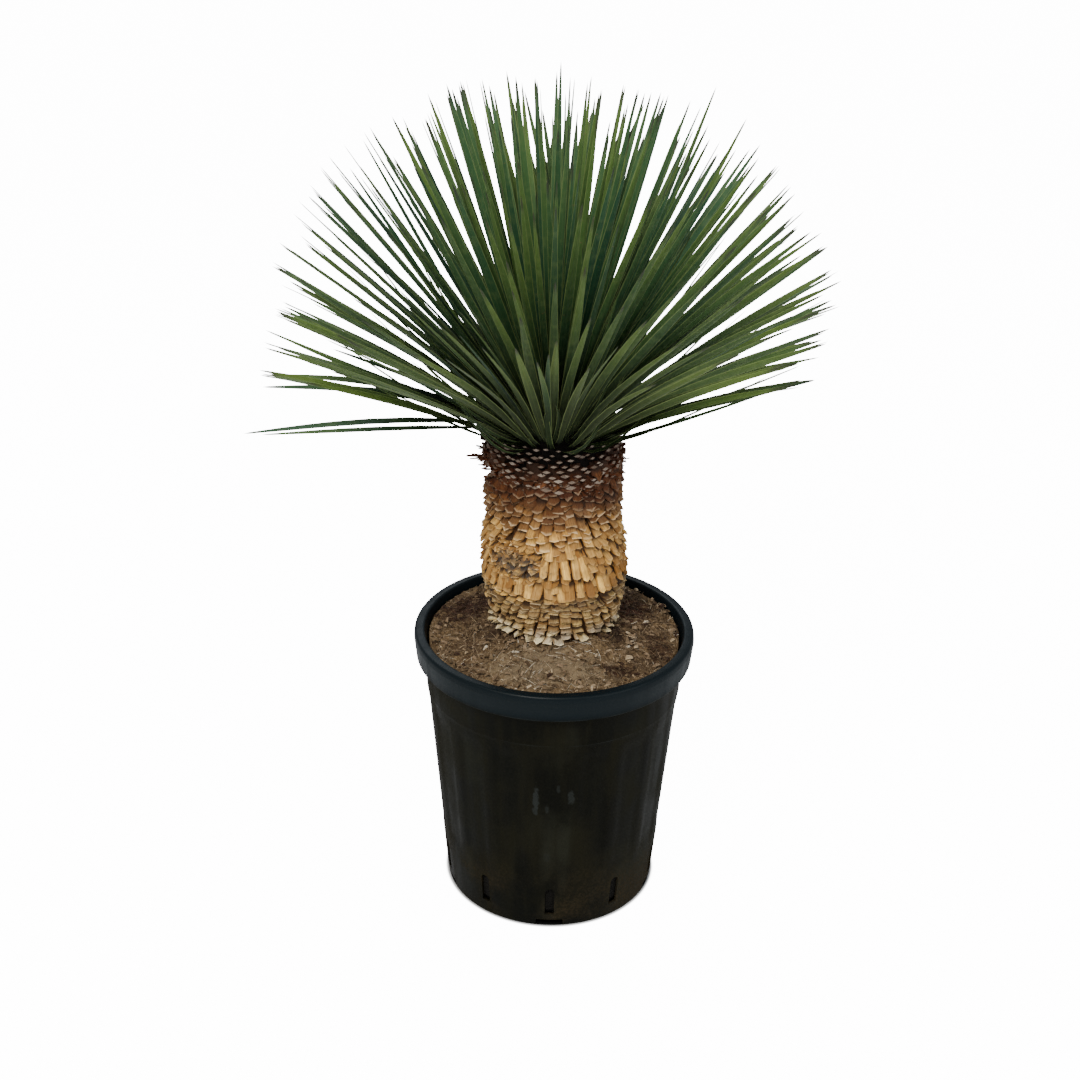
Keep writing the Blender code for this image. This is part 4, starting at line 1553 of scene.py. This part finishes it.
def leaf_aim(azimuth, angle, draw):
    """The direction, reach and arch of the leaf that grows from one cell, as in its solid."""
    full = math.radians(90.0)
    height_share = (angle - DOME_START) / (full - DOME_START)
    elevation = LOWEST_LEAF + (full - LOWEST_LEAF) * height_share
    front = max(0.0, -math.sin(azimuth)) ** 2
    elevation += FRONT_LIFT * front * (1.0 - height_share) ** 2
    place = Vector((math.cos(azimuth), math.sin(azimuth), 1.6 * angle)) * 2.3
    bunch_strength = BUNCHING * min(1.0, math.cos(elevation) * 2.0)
    azimuth += bunch_strength * noise.noise(place) / max(math.cos(elevation), 0.35)
    elevation += 0.7 * bunch_strength * noise.noise(place + Vector((0.0, 0.0, 9.0)))
    azimuth += math.radians(draw.uniform(-0.8, 0.8))
    elevation += math.radians(draw.uniform(-1.0, 1.0))
    reach = TIP_REACH + TIP_REACH_GAIN * draw.random() + TOP_REACH_GAIN * math.sin(elevation)
    reach += (LEAN_REACH * math.cos(azimuth) - FRONT_REACH * math.sin(azimuth)) * math.cos(elevation)
    arch = DROOP * draw.uniform(0.4, 1.4) * math.cos(elevation) ** 2
    return azimuth, elevation, reach, arch


def stem_leaned(point):
    """The place of a point once the stem leans."""
    return point - Vector((LEAN * max(0.0, point.z - TRUNK_BOTTOM), 0.0, 0.0))


def dome_point(azimuth, angle):
    radius = DOME_RADIUS * math.cos(angle)
    height = DOME_CENTRE + DOME_HEIGHT * math.sin(angle)
    return Vector((radius * math.cos(azimuth), radius * math.sin(azimuth), height))


def inner_root(azimuth, angle, share=0.9, lift=0.081):
    """Where a leaf is rooted inside the dome. A share of 1 would be on its surface."""
    return stem_leaned(share * dome_point(azimuth, angle) + Vector((0.0, 0.0, lift)))


EYE_TURN = (Matrix.Rotation(math.pi / 2 - EYE_PITCH, 3, "X") @ Matrix.Rotation(EYE_ROLL, 3, "Z")).transposed()
TO_EYE = (EYE - stem_leaned(Vector((0.0, 0.0, HEART_HEIGHT)))).normalized()


def seen_at(point):
    """Where a point lies in the camera's view, to the right and up, in shares of its distance."""
    place = EYE_TURN @ (point - EYE)
    return Vector((place.x, place.y)) / -place.z


FAN_HEIGHT = 0.774  # the leaves and the gaps between them fan out from this height of the stem
FAN = stem_leaned(Vector((0.0, 0.0, FAN_HEIGHT)))
FAN_DEPTH = -(EYE_TURN @ (FAN - EYE)).z
TOWARDS_EYE = (EYE - FAN).normalized()
ACROSS, UPWARD = EYE_TURN[0], EYE_TURN[1]  # the camera's right and up
GAPS = (  # the angle round the fan's middle and half the width, in degrees, of each gap in the crown
    (2.5, 11.0), (16.7, 1.3), (24.9, 0.7), (34.3, 0.8), (45.0, 0.4), (49.7, 0.8), (70.1, 0.8), (81.2, 0.3),
    (93.7, 0.3), (98.5, 0.3), (102.5, 0.6), (108.0, 0.4), (113.0, 0.8), (117.5, 0.4), (122.7, 1.5),
    (126.6, 0.7), (128.8, 0.5), (131.5, 1.0), (135.2, 0.5), (137.0, 0.8), (139.4, 0.4), (141.9, 0.9),
    (144.7, 1.0), (150.4, 1.0), (157.3, 2.4), (162.9, 1.6), (169.4, 3.0), (177.5, 2.0),
)
BUNCHES = tuple((low[0] + low[1], high[0] - high[1]) for low, high in zip(GAPS[:-1], GAPS[1:]))
FAN_REACH = (  # how far the leaves are seen to reach from the fan's middle, by angle
    (12, 0.400), (20, 0.450), (30, 0.510), (42, 0.540), (60, 0.572), (75, 0.570), (90, 0.578), (105, 0.582),
    (117, 0.570), (130, 0.560), (141, 0.530), (147, 0.515), (153, 0.475), (168, 0.470), (172, 0.420),
)
LONGER = 1.20  # the points of these finer leaves fade, so they reach further than the solids' leaves


def seen_in_fan(point):
    """The angle in degrees and the distance at which a point is seen from the fan's middle."""
    offset = seen_at(point) - seen_at(FAN)
    return math.degrees(math.atan2(offset.y, offset.x)) % 360.0, offset.length * FAN_DEPTH


def turned_in_view(point, angle):
    return FAN + Matrix.Rotation(math.radians(angle), 3, TOWARDS_EYE) @ (point - FAN)


def fan_point(angle, distance):
    """The point at an angle in degrees and a distance from the fan's middle, square to the view."""
    turn = math.radians(angle)
    return FAN + distance * (math.cos(turn) * ACROSS + math.sin(turn) * UPWARD)


def bunch_at(angle):
    """The bunch that is nearest to an angle."""
    return min(BUNCHES, key=lambda bunch: max(bunch[0] - angle, angle - bunch[1]))


BROAD = ((144.5, 149.5), (151.0, 155.0), (164.0, 167.0), (113.5, 117.0))  # degrees, open bunches on the left
LEFT_FROM = 119.0  # degrees round the fan's middle
RIGHT_TO = 62.0
DIP_AT = 0.13  # share of a leaf's length at which it sags the most


@dataclass
class Leaf:
    """The root, tip and lie of one leaf. Facing is how wide the camera sees its blade, from 0 to 1."""

    root: Vector
    tip: Vector
    arch: float
    width: float
    facing: float
    age: float
    tone: float
    sway: float = 0.0
    taper: float = 0.0
    dip: float = 0.0

    def axes(self):
        """The way across the blade and the way out of its upper side, before it is twisted."""
        chord = self.tip - self.root
        level = math.hypot(chord.x, chord.y)
        return leaf_axes(math.atan2(chord.y, chord.x), math.atan2(chord.z, level))[1:]

    def twist(self):
        """The turn round its length that opens the blade to the camera as far as its facing.

        It takes the shorter way, with either side of the blade.
        """
        side, above = self.axes()
        full = math.atan2(-side.dot(TO_EYE), above.dot(TO_EYE))
        full = (full + 0.5 * math.pi) % math.pi - 0.5 * math.pi
        off = math.acos(max(0.0, min(1.0, self.facing)))
        return full - math.copysign(off, full)

    def points(self, blank):
        x, y, share = blank.points.T
        side, above = self.axes()
        side = np.array(side)
        above = np.array(above)
        bow = np.sin(math.pi * share ** 0.8)
        middle = np.outer(1.0 - share, self.root) + np.outer(share, self.tip)
        early = share / DIP_AT
        middle[:, 2] += self.arch * bow - self.dip * early * np.exp(1.0 - early)
        middle += np.outer(self.sway * bow, side)
        turn = self.twist() * share ** 0.6
        half = 0.5 * self.width
        x = x * half * (1.0 - self.taper * share ** 1.2)
        y = y * half
        middle += np.outer(x * np.cos(turn) - y * np.sin(turn), side)
        middle += np.outer(x * np.sin(turn) + y * np.cos(turn), above)
        return middle


ROOM = (0.032, 0.032, 0.044)  # how far a leaf may reach out of the solids' box


def kept_in_room(tip):
    """Shortens a leaf that would reach too far out of the solids' box."""
    share = 1.0
    for axis in range(3):
        offset = tip[axis] - FAN[axis]
        limit = CAD_BOX[1][axis] + ROOM[axis] if offset > 0 else CAD_BOX[0][axis] - ROOM[axis]
        if abs(offset) > abs(limit - FAN[axis]):
            share = min(share, (limit - FAN[axis]) / offset)
    return FAN + share * (tip - FAN)


WIDE_AT = 0.33  # distance from the fan's middle at which the leaves' width is counted


def settled_in_bunch(leaf, draw):
    """Turns a leaf's tip and root in the camera's view, so that it lies in a bunch and not in a gap."""
    angle, distance = seen_in_fan(leaf.tip)
    low, high = bunch_at(angle)
    half = math.degrees(0.5 * leaf.width * leaf.facing / WIDE_AT)
    if high - low < 2 * half:
        leaf.facing *= max(0.12, (high - low) / (2 * half))
        half = 0.5 * (high - low)
    goal = min(max(angle, low + half), high - half)
    leaf.tip = turned_in_view(leaf.tip, goal - angle)
    reach = np.interp(goal, *zip(*FAN_REACH))
    reach *= 1.0 - 0.16 * draw.random() ** 1.6
    if distance > reach:
        leaf.tip = FAN + (leaf.tip - FAN) * (reach / distance)
    leaf.tip = kept_in_room(leaf.tip)
    for _ in range(3):
        middle = 0.55 * leaf.root + 0.45 * leaf.tip + Vector((0.0, 0.0, leaf.arch))
        angle, distance = seen_in_fan(middle)
        goal = min(max(angle, low + half), high - half)
        turn = max(-7.0, min(7.0, 1.3 * (goal - angle)))
        if distance < 0.05 or abs(turn) < 0.1:
            break
        leaf.root = turned_in_view(leaf.root, turn)
    return leaf


def chosen_facing(angle, draw):
    """How far a leaf lies open to the camera: widely on the right, and often on edge on the left."""
    chance = draw.random()
    if angle > LEFT_FROM:
        broad = any(low < angle < high for low, high in BROAD)
        return draw.uniform(0.6, 1.0) if broad or chance < 0.10 else draw.uniform(0.20, 0.45)
    often = 0.8 if angle < RIGHT_TO else 0.88
    return draw.uniform(0.75, 1.0) if chance < often else draw.uniform(0.2, 0.6)


SHORTEST_SEEN = 0.10  # leaves below the fan that look shorter than this were cut
FURTHEST_UNDER = 60.0  # and so were those more degrees below its edges than this
CUT_SHARE = 0.45  # and this share of the rest; the others are lifted into the fan


def grown_leaf(azimuth, angle, aim, width, age, draw):
    """A leaf by the solids' rule, settled in its bunch, or None if it was cut away at the front."""
    aim_azimuth, elevation, reach, arch = aim
    along, _, _ = leaf_axes(aim_azimuth, elevation)
    root = inner_root(azimuth, angle, share=0.86, lift=0.14 * DOME_CENTRE)
    tip = Vector((0.0, 0.0, HEART_HEIGHT - 1.5 * arch)) + LONGER * reach * along
    tip = stem_leaned(tip)
    seen_angle, distance = seen_in_fan(tip)
    lowest, highest = BUNCHES[0][0], BUNCHES[-1][1]
    under = (lowest - seen_angle) % 360.0
    over = (seen_angle - highest) % 360.0
    if not lowest <= seen_angle <= highest:
        if distance < SHORTEST_SEEN or min(under, over) > FURTHEST_UNDER or draw.random() < CUT_SHARE:
            return None
        lift = under * 1.7 if under < over else -over * 1.5
        tip = turned_in_view(tip, lift)
        arch = -draw.uniform(0.010, 0.030)
        width *= 0.8
    seen_angle, _ = seen_in_fan(tip)
    facing = chosen_facing(seen_angle, draw)
    level = abs(math.cos(math.radians(seen_angle)))
    # Leaves that lie level in the view get a lighter tone, and blades seen nearly on edge a darker one:
    # painted shade.
    tone = draw.gauss(0.0, 0.5) + 0.6 * level - (1.2 if facing < 0.45 else 0.0)
    age = max(age, draw.uniform(0.0, 1.2) * (level - 0.5))
    sway = draw.uniform(-0.005, 0.005)
    leaf = Leaf(root, tip, arch, width * draw.uniform(0.82, 1.15), facing, age, tone, sway)
    leaf.dip = 0.012 * draw.uniform(0.6, 1.3) * level * max(0.0, -math.sin(azimuth)) ** 4
    return settled_in_bunch(leaf, draw)


FRONT_BLADES = (  # tip, azimuth and height on the dome of the root, arch, width: those that point forward
    ((-0.008, -0.250, 0.942), -91, 15, 0.0100, 0.0095),
    ((-0.015, -0.240, 0.938), -91, 9, 0.0100, 0.0150),
    ((-0.083, -0.240, 0.968), -112, 17, 0.0016, 0.0105),
    ((-0.093, -0.200, 0.955), -106, 10, -0.0068, 0.0125),
    ((-0.165, -0.200, 0.957), -114, 11, -0.0320, 0.0090),
    ((-0.145, -0.200, 0.926), -116, 10, -0.0320, 0.0080),
    ((-0.046, -0.250, 1.014), -100, 20, 0.0100, 0.0105),
    ((0.014, -0.260, 1.009), -84, 20, 0.0100, 0.0095),
    ((0.040, -0.230, 0.976), -76, 17, 0.0100, 0.0080),
    ((0.090, -0.220, 0.981), -66, 15, -0.0012, 0.0070),
    ((0.085, -0.200, 0.970), -80, 9, -0.0376, 0.0090),
    ((0.094, -0.200, 1.024), -72, 12, -0.0264, 0.0080),
    ((0.056, -0.200, 0.891), -84, 9, -0.0152, 0.0090),
    ((0.076, -0.230, 0.947), -62, 14, -0.0040, 0.0070),
    ((0.108, -0.240, 1.036), -60, 18, 0.0016, 0.0085),
    ((-0.128, -0.230, 0.917), -122, 13, -0.0068, 0.0090),
    ((-0.160, -0.250, 0.960), -128, 16, -0.0040, 0.0095),
    ((0.152, -0.140, 0.925), -66, 12, -0.0320, 0.0090),
    ((0.024, -0.240, 1.158), -86, 30, 0.0100, 0.0120),
    ((-0.075, -0.240, 1.075), -106, 26, 0.0100, 0.0110),
    ((0.075, -0.250, 1.110), -72, 28, 0.0100, 0.0110),
)
SWEEPS = 36  # thin leaves that leave the front sideways and curve up a little
LOWEST = 21  # broad leaves that lie lowest at both sides
TALLEST = 36  # bright broad leaves at the top
STRAYS = (  # the same measures of single leaves that stand out at the sides and at the top
    ((-0.477, -0.010, 0.792), 184, 13, 0.013, 0.0140),
    ((-0.446, -0.030, 0.799), 190, 12, 0.004, 0.0110),
    ((-0.425, 0.000, 0.884), 176, 14, 0.022, 0.0150),
    ((-0.446, 0.000, 0.864), 183, 13, 0.024, 0.0150),
    ((-0.283, 0.000, 1.236), 180, 45, 0.000, 0.0100),
    ((-0.303, 0.000, 1.196), 176, 42, 0.000, 0.0110),
    ((-0.338, 0.000, 0.926), 180, 22, 0.006, 0.0100),
    ((0.210, 0.020, 1.314), 0, 50, 0.000, 0.0130),
    ((0.253, 0.000, 1.275), 0, 46, 0.000, 0.0130),
    ((-0.0075, -0.020, 1.352), -90, 70, 0.000, 0.0130),
    ((-0.440, 0.020, 0.947), 174, 22, -0.010, 0.0110),
    ((-0.424, 0.010, 0.944), 177, 21, -0.012, 0.0090),
    ((-0.300, 0.010, 0.880), 178, 20, -0.010, 0.0080),
    ((0.377, 0.000, 0.889), 0, 16, -0.006, 0.0120),
)
SPEARS = 7


def leaf_finish(name, green, look):
    """Waxy leaf: fine veins, horny margins, a dry point, a tone of its own for each leaf, and painted shade
    low down and in the heart.
    """
    made, finish = new_material(name)
    place = finish.place()
    across, along = finish.along()
    tone = finish.attribute("tone")
    copy = finish.attribute("copy")
    age = finish.attribute("age")
    from_middle = finish.off(across, 0.5)
    patches = finish.mottle(place, size=11.0, detail=4.0, low=0.30, high=0.70)
    blotches = finish.mottle(place, size=60.0, detail=4.0, low=0.45, high=0.75)
    veins = finish.use("Fibres", across=across, along=along, copy=copy, count=26.0, length=2.2)
    fresh = toned(green, 1.75, 1.42, 0.95)
    dim = toned(green, 0.50, 0.66, 0.85)
    dead = (0.034, 0.031, 0.024)
    speck = (0.16, 0.13, 0.06)
    colour = finish.mix(finish.between(tone, 0.0, 1.2, 0.0, 0.9, smooth=False), green, fresh)
    colour = finish.mix(finish.between(tone, 0.0, -1.2, 0.0, 0.9, smooth=False), colour, dim)
    colour = finish.over(patches, 0.30, colour, fresh)
    colour = finish.over(age, 0.75, colour, look.old)
    outer = finish.product(finish.between(along, 0.40, 0.85), finish.between(copy, 0.30, 0.80))
    colour = finish.over(outer, 0.60, colour, look.sunlit)
    colour = finish.over(veins, 0.30, colour, dim)
    colour = finish.over(blotches, 0.14, colour, look.margin)
    # Painted shade: low on the blade the colour is pulled towards the old olive.
    low = finish.between(along, 0.45, 0.08)
    colour = finish.over(low, 0.40, colour, look.old)
    # Painted shade in the heart: darker low in front of the stem, and low on every blade.
    axes = finish.axes(place)
    in_front = finish.between(finish.maths("ABSOLUTE", axes[0]), 0.22, 0.08)
    deep = finish.product(finish.between(axes[2], 1.08, 0.88), finish.product(in_front, 0.92))
    deep = finish.maths("MAXIMUM", deep, finish.between(along, 0.52, 0.06, smooth=False))
    colour = finish.mix(deep, colour, finish.mix(1.0, colour, (0.13, 0.17, 0.04), "MULTIPLY"))
    # Painted shade: near black at the root, where the leaves leave the dome.
    root = finish.between(along, 0.13, 0.02)
    colour = finish.over(root, 0.85, colour, (0.008, 0.012, 0.004))
    margin = finish.between(from_middle, 0.40, 0.455)
    colour = finish.over(margin, finish.between(root, 0.0, 1.0, 0.50, 0.30), colour, look.margin)
    keel = finish.between(from_middle, 0.03, 0.0)
    colour = finish.over(keel, 0.14, colour, look.margin)
    point = finish.between(finish.plus(along, finish.product(tone, 0.015)), 0.91, 0.985)
    colour = finish.over(point, 0.75, colour, dead)
    specks = finish.mottle(place, size=210.0, detail=2.0, low=0.70, high=0.76)
    colour = finish.over(specks, 0.55, colour, speck)
    waxy = finish.between(veins, 0.0, 1.0, 0.46, 0.58, smooth=False)
    waxy = finish.plus(waxy, finish.product(deep, 0.30), clamp=True)
    finish.settle(colour, waxy, 0.24, veins, 0.35, 0.0004)
    return made


def spear_leaves(draw):
    """The furled youngest leaves stand in a narrow bundle on the top of the dome."""
    leaves = []
    for index in range(SPEARS):
        azimuth = math.tau * index / SPEARS + 0.3
        root = stem_leaned(dome_point(azimuth, math.radians(82)))
        lean_out = math.radians(90 - draw.uniform(1.5, 4.5))
        along, _, _ = leaf_axes(azimuth, lean_out)
        tip = root + SPEAR_LENGTH * draw.uniform(0.9, 1.12) * along
        leaves.append(Leaf(root, tip, 0.0, 0.0105, draw.uniform(0.3, 1.0), 0.0, draw.gauss(0.3, 0.3)))
    return leaves


def sweeping_leaves(draw):
    """Thin leaves at the front: they leave the heart almost level, to both sides, and curve up."""
    leaves = []
    for number in range(SWEEPS):
        side = 1 if number % 2 else -1
        azimuth = FRONT + side * math.radians(2 + 36 * draw.random() ** 1.5)
        root = inner_root(azimuth, math.radians(draw.uniform(11, 18)))
        seen_angle = draw.uniform(15.0, 60.0) if side > 0 else draw.uniform(122.0, 166.5)
        low, high = bunch_at(seen_angle)
        tip = fan_point(min(max(seen_angle, low + 0.3), high - 0.3), draw.uniform(0.20, 0.42))
        tip += draw.uniform(0.06, 0.16) * TOWARDS_EYE
        width = draw.uniform(0.0065, 0.0095)
        arch = -draw.uniform(0.4, 0.9) * min(0.028, 0.20 * (tip.z - root.z))
        leaf = Leaf(root, tip, arch, width, draw.uniform(0.3, 0.8), 0.5, draw.gauss(0.8, 0.4), taper=0.5)
        leaf.dip = draw.uniform(0.003, 0.007) * max(0.0, -math.sin(azimuth)) ** 5
        leaves.append(leaf)
    return leaves


def lowest_leaves(draw):
    """Broad leaves whose lower edges close the fan at both sides."""
    leaves = []
    for number in range(LOWEST):
        side = 1 if number % 3 == 0 else -1
        azimuth = FRONT + side * math.radians(draw.uniform(50, 92))
        root = inner_root(azimuth, math.radians(draw.uniform(13, 20)))
        seen_angle = draw.uniform(13.8, 15.2) if side > 0 else draw.uniform(160.0, 161.1)
        tip = fan_point(seen_angle, draw.uniform(0.24, 0.44))
        width = draw.uniform(0.010, 0.014)
        leaves.append(Leaf(root, tip, 0.004, width, draw.uniform(0.4, 0.9), 0.3, draw.gauss(0.2, 0.4)))
    return leaves


def tallest_leaves(draw):
    """Bright broad leaves that stand up behind the heart."""
    leaves = []
    for _ in range(TALLEST):
        low, high = bunch_at(draw.uniform(78.0, 100.0))
        seen_angle = draw.uniform(low + 0.5, high - 0.5)
        root = stem_leaned(dome_point(draw.uniform(0.0, math.tau), math.radians(draw.uniform(50, 75))))
        tip = fan_point(seen_angle, draw.uniform(0.43, 0.555))
        tip = kept_in_room(tip + draw.uniform(-0.12, 0.02) * TOWARDS_EYE)
        width = draw.uniform(0.012, 0.015)
        leaves.append(Leaf(root, tip, 0.0, width, draw.uniform(0.75, 1.0), 0.4, draw.gauss(0.9, 0.3)))
    return leaves


def tier_leaves(look):
    """The leaves of each tier, by the solids' rule, and the thin ones between them."""
    aim_draw = random.Random(SOLID_SEED)
    draw = random.Random(LEAF_SEED)
    tiers = []
    bottom = DOME_START
    for number, (*_, count, thin_share) in enumerate(TIERS):
        angles = [bottom + DOME_STEP * row for row in range(TIER_ROWS + 2)]
        leaves = []
        for row in range(1, TIER_ROWS + 1):
            for index in range(count):
                azimuth = math.tau * (index + 0.5 * (1 + (row + 1) % 2)) / count
                aim = leaf_aim(azimuth, angles[row], aim_draw)
                age = 1.0 - (row - 1 + TIER_ROWS * number) / (TIER_ROWS * len(TIERS))
                age = max(0.0, age - 0.45) / 0.55
                leaves.append(grown_leaf(azimuth, angles[row], aim, look.width, age, draw))
        for _ in range(int(look.thin_leaves * thin_share)):
            azimuth = draw.uniform(0.0, math.tau)
            angle = draw.uniform(angles[1], angles[-2])
            aim = leaf_aim(azimuth, angle, draw)
            leaves.append(grown_leaf(azimuth, angle, aim, 0.72 * look.width, 0.3 * draw.random(), draw))
        tiers.append([leaf for leaf in leaves if leaf])
        bottom = angles[-1]
    outer, _, heart = tiers
    for tip, azimuth, angle, arch, width in FRONT_BLADES:
        root = inner_root(math.radians(azimuth), math.radians(angle))
        sway = draw.uniform(-0.01, 0.01)
        outer.append(Leaf(root, Vector(tip), arch, width, 0.85, 0.4, draw.gauss(0.6, 0.4), sway, taper=0.80))
    for tip, azimuth, angle, arch, width in STRAYS:
        root = inner_root(math.radians(azimuth), math.radians(angle))
        outer.append(Leaf(root, Vector(tip), arch, width, 0.75, 0.2, draw.gauss(-0.8, 0.2)))
    outer += sweeping_leaves(draw) + lowest_leaves(draw) + tallest_leaves(draw)
    heart += spear_leaves(draw)
    return tiers


class YUCCA_OT_leaves(bpy.types.Operator):
    """Models the three tiers of leaves and the dome that they grow from"""

    bl_idname = "yucca.leaves"
    bl_label = "Leaves"

    def execute(self, context):
        look = context.scene.yucca_leaves
        radius, height = 0.94 * DOME_RADIUS, 0.92 * DOME_HEIGHT
        outline = [(0.020, DOME_CENTRE + height)]
        for step in range(1, 13):
            angle = math.radians(78 - 5.6 * step)
            outline.append((radius * math.cos(angle), DOME_CENTRE + height * math.sin(angle)))
        outline += [(0.93 * DOME_RADIUS, 0.806), (0.0, 0.806)]
        dome = turned_shell("leaf_dome", outline, 72, 60)
        for vertex in dome.data.vertices:
            vertex.co += 0.0015 * vertex.normal * noise.noise(vertex.co * 150.0)
            vertex.co.x -= LEAN * (vertex.co.z - TRUNK_BOTTOM)
        nodes = [tier[0] for tier in TIERS]
        stand_for(dome, bpy.data.materials["dark_felt"], "old_leaves", *nodes)
        blank = blade_blank()
        across = np.sign(np.where(np.abs(blank.points[:, 0]) < 0.001, 0.0, blank.points[:, 0]))
        uv = np.stack((0.5 + 0.5 * across, blank.points[:, 2]), axis=1)
        draw = random.Random(LEAF_COPY_SEED)
        for (node, name, slot, green, _, _), leaves in zip(TIERS, tier_leaves(look)):
            copies = [leaf.points(blank) for leaf in leaves]
            marks = {
                "tone": [leaf.tone for leaf in leaves],
                "age": [leaf.age for leaf in leaves],
                "copy": [draw.random() for _ in leaves],
            }
            blades = joined_copies(name, blank, copies, marks, uv)
            shade(blades, 50)
            stand_for(blades, leaf_finish(f"{slot}_wax", getattr(look, green), look), slot, node)
        return {"FINISHED"}


# Stage


def aim_light(name, place, target, size, power, colour):
    lamp = bpy.data.lights.new(name, "AREA")
    lamp.shape = "SQUARE"
    lamp.size = size
    lamp.energy = power
    lamp.color = colour
    made = bpy.data.objects.new(name, lamp)
    made.location = place
    made.rotation_euler = (Vector(target) - Vector(place)).to_track_quat("-Z", "Y").to_euler()
    bpy.context.scene.collection.objects.link(made)


class YUCCA_OT_stage(bpy.types.Operator):
    """Sets the pale floor, the soft light and the camera"""

    bl_idname = "yucca.stage"
    bl_label = "Floor, light and camera"

    def execute(self, context):
        look = context.scene.yucca_stage
        put_all_down()
        bpy.ops.mesh.primitive_plane_add(size=60.0, location=(0.0, 0.0, -0.0002))
        floor = bpy.context.object
        floor.name = "floor"
        settle_origin(floor)
        made, finish = new_material("pale_floor")
        away = finish.add("ShaderNodeVectorMath", {0: finish.place()}, operation="LENGTH").outputs["Value"]
        # Painted shade: under the pot the floor is near black.
        open_floor = finish.between(away, 0.172, 0.175)
        finish.put(finish.shader["Base Color"], finish.mix(open_floor, (0.004, 0.004, 0.004), look.floor))
        finish.put(finish.shader["Roughness"], 0.9)
        finish.put(finish.shader["Specular IOR Level"], 0.1)
        strength = finish.between(away, 0.1755, 0.1805, 0.0, 14.0)
        glow = finish.add("ShaderNodeEmission", {"Color": (1.0, 1.0, 1.0), "Strength": strength})
        seen = finish.add("ShaderNodeLightPath").outputs["Is Camera Ray"]
        plain = finish.shader["Base Color"].node.outputs[0]
        both = finish.add("ShaderNodeAddShader", {0: plain, 1: glow.outputs[0]})
        choice = finish.add("ShaderNodeMixShader", {0: seen, 1: plain, 2: both.outputs[0]})
        finish.put(finish.output.inputs["Surface"], choice.outputs[0])
        wear_finish(floor, made)

        world = bpy.data.worlds.new("soft_daylight")
        world.use_nodes = True
        context.scene.world = world
        world.node_tree.nodes.clear()
        sky = Finish(world.node_tree)
        around = sky.add("ShaderNodeBackground", {"Color": (0.93, 0.97, 1.0), "Strength": look.sky})
        behind = sky.add("ShaderNodeBackground", {"Color": (1.0, 1.0, 1.0), "Strength": 14.0})
        direct = sky.add("ShaderNodeLightPath").outputs["Is Camera Ray"]
        chosen = sky.add("ShaderNodeMixShader", {0: direct, 1: around.outputs[0], 2: behind.outputs[0]})
        sky.add("ShaderNodeOutputWorld", {"Surface": chosen.outputs[0]})

        aim_light("key", (-0.8, -2.2, 3.0), (0.0, 0.0, 0.65), 0.9, look.key, (1.0, 0.97, 0.92))
        aim_light("fill", (2.2, -1.6, 2.0), (0.0, 0.0, 0.6), 2.0, 0.30 * look.key, (0.90, 0.95, 1.0))
        aim_light("back", (-0.6, 2.2, 2.8), (0.0, 0.0, 0.7), 1.8, 0.40 * look.key, (0.90, 0.95, 1.0))

        eye = bpy.data.cameras.new("camera")
        eye.lens = LENS
        eye.sensor_width = SENSOR
        eye.sensor_fit = "AUTO"
        eye.clip_end = 100.0
        camera = bpy.data.objects.new("camera", eye)
        camera.location = EYE
        camera.rotation_euler = EYE_TURN.transposed().to_euler()
        context.scene.collection.objects.link(camera)
        context.scene.camera = camera
        return {"FINISHED"}


# Panel and registration


STEPS = (
    ("pot", PotLook, YUCCA_OT_pot),
    ("soil", SoilLook, YUCCA_OT_soil),
    (None, None, YUCCA_OT_litter),
    ("trunk", TrunkLook, YUCCA_OT_trunk),
    ("collar", CollarLook, YUCCA_OT_collar),
    ("leaves", LeafLook, YUCCA_OT_leaves),
    ("stage", StageLook, YUCCA_OT_stage),
)


class YUCCA_PT_panel(bpy.types.Panel):
    """Lists the settings and the steps of the model"""

    bl_label = "Potted yucca"
    bl_idname = "YUCCA_PT_panel"
    bl_space_type = "VIEW_3D"
    bl_region_type = "UI"
    bl_category = "Yucca"

    def draw(self, context):
        for name, settings, step in STEPS:
            box = self.layout.box()
            if settings:
                group = getattr(context.scene, f"yucca_{name}")
                for setting in settings.__annotations__:
                    box.prop(group, setting)
            box.operator(step.bl_idname)


def register():
    for name, settings, step in STEPS:
        if settings:
            bpy.utils.register_class(settings)
            setattr(bpy.types.Scene, f"yucca_{name}", bpy.props.PointerProperty(type=settings))
        bpy.utils.register_class(step)
    bpy.utils.register_class(YUCCA_PT_panel)


def unregister():
    bpy.utils.unregister_class(YUCCA_PT_panel)
    for name, settings, step in reversed(STEPS):
        bpy.utils.unregister_class(step)
        if settings:
            delattr(bpy.types.Scene, f"yucca_{name}")
            bpy.utils.unregister_class(settings)


def main():
    register()
    build_groups()
    for _, _, step in STEPS:
        group, name = step.bl_idname.split(".")
        getattr(getattr(bpy.ops, group), name)()


if __name__ == "__main__":
    main()
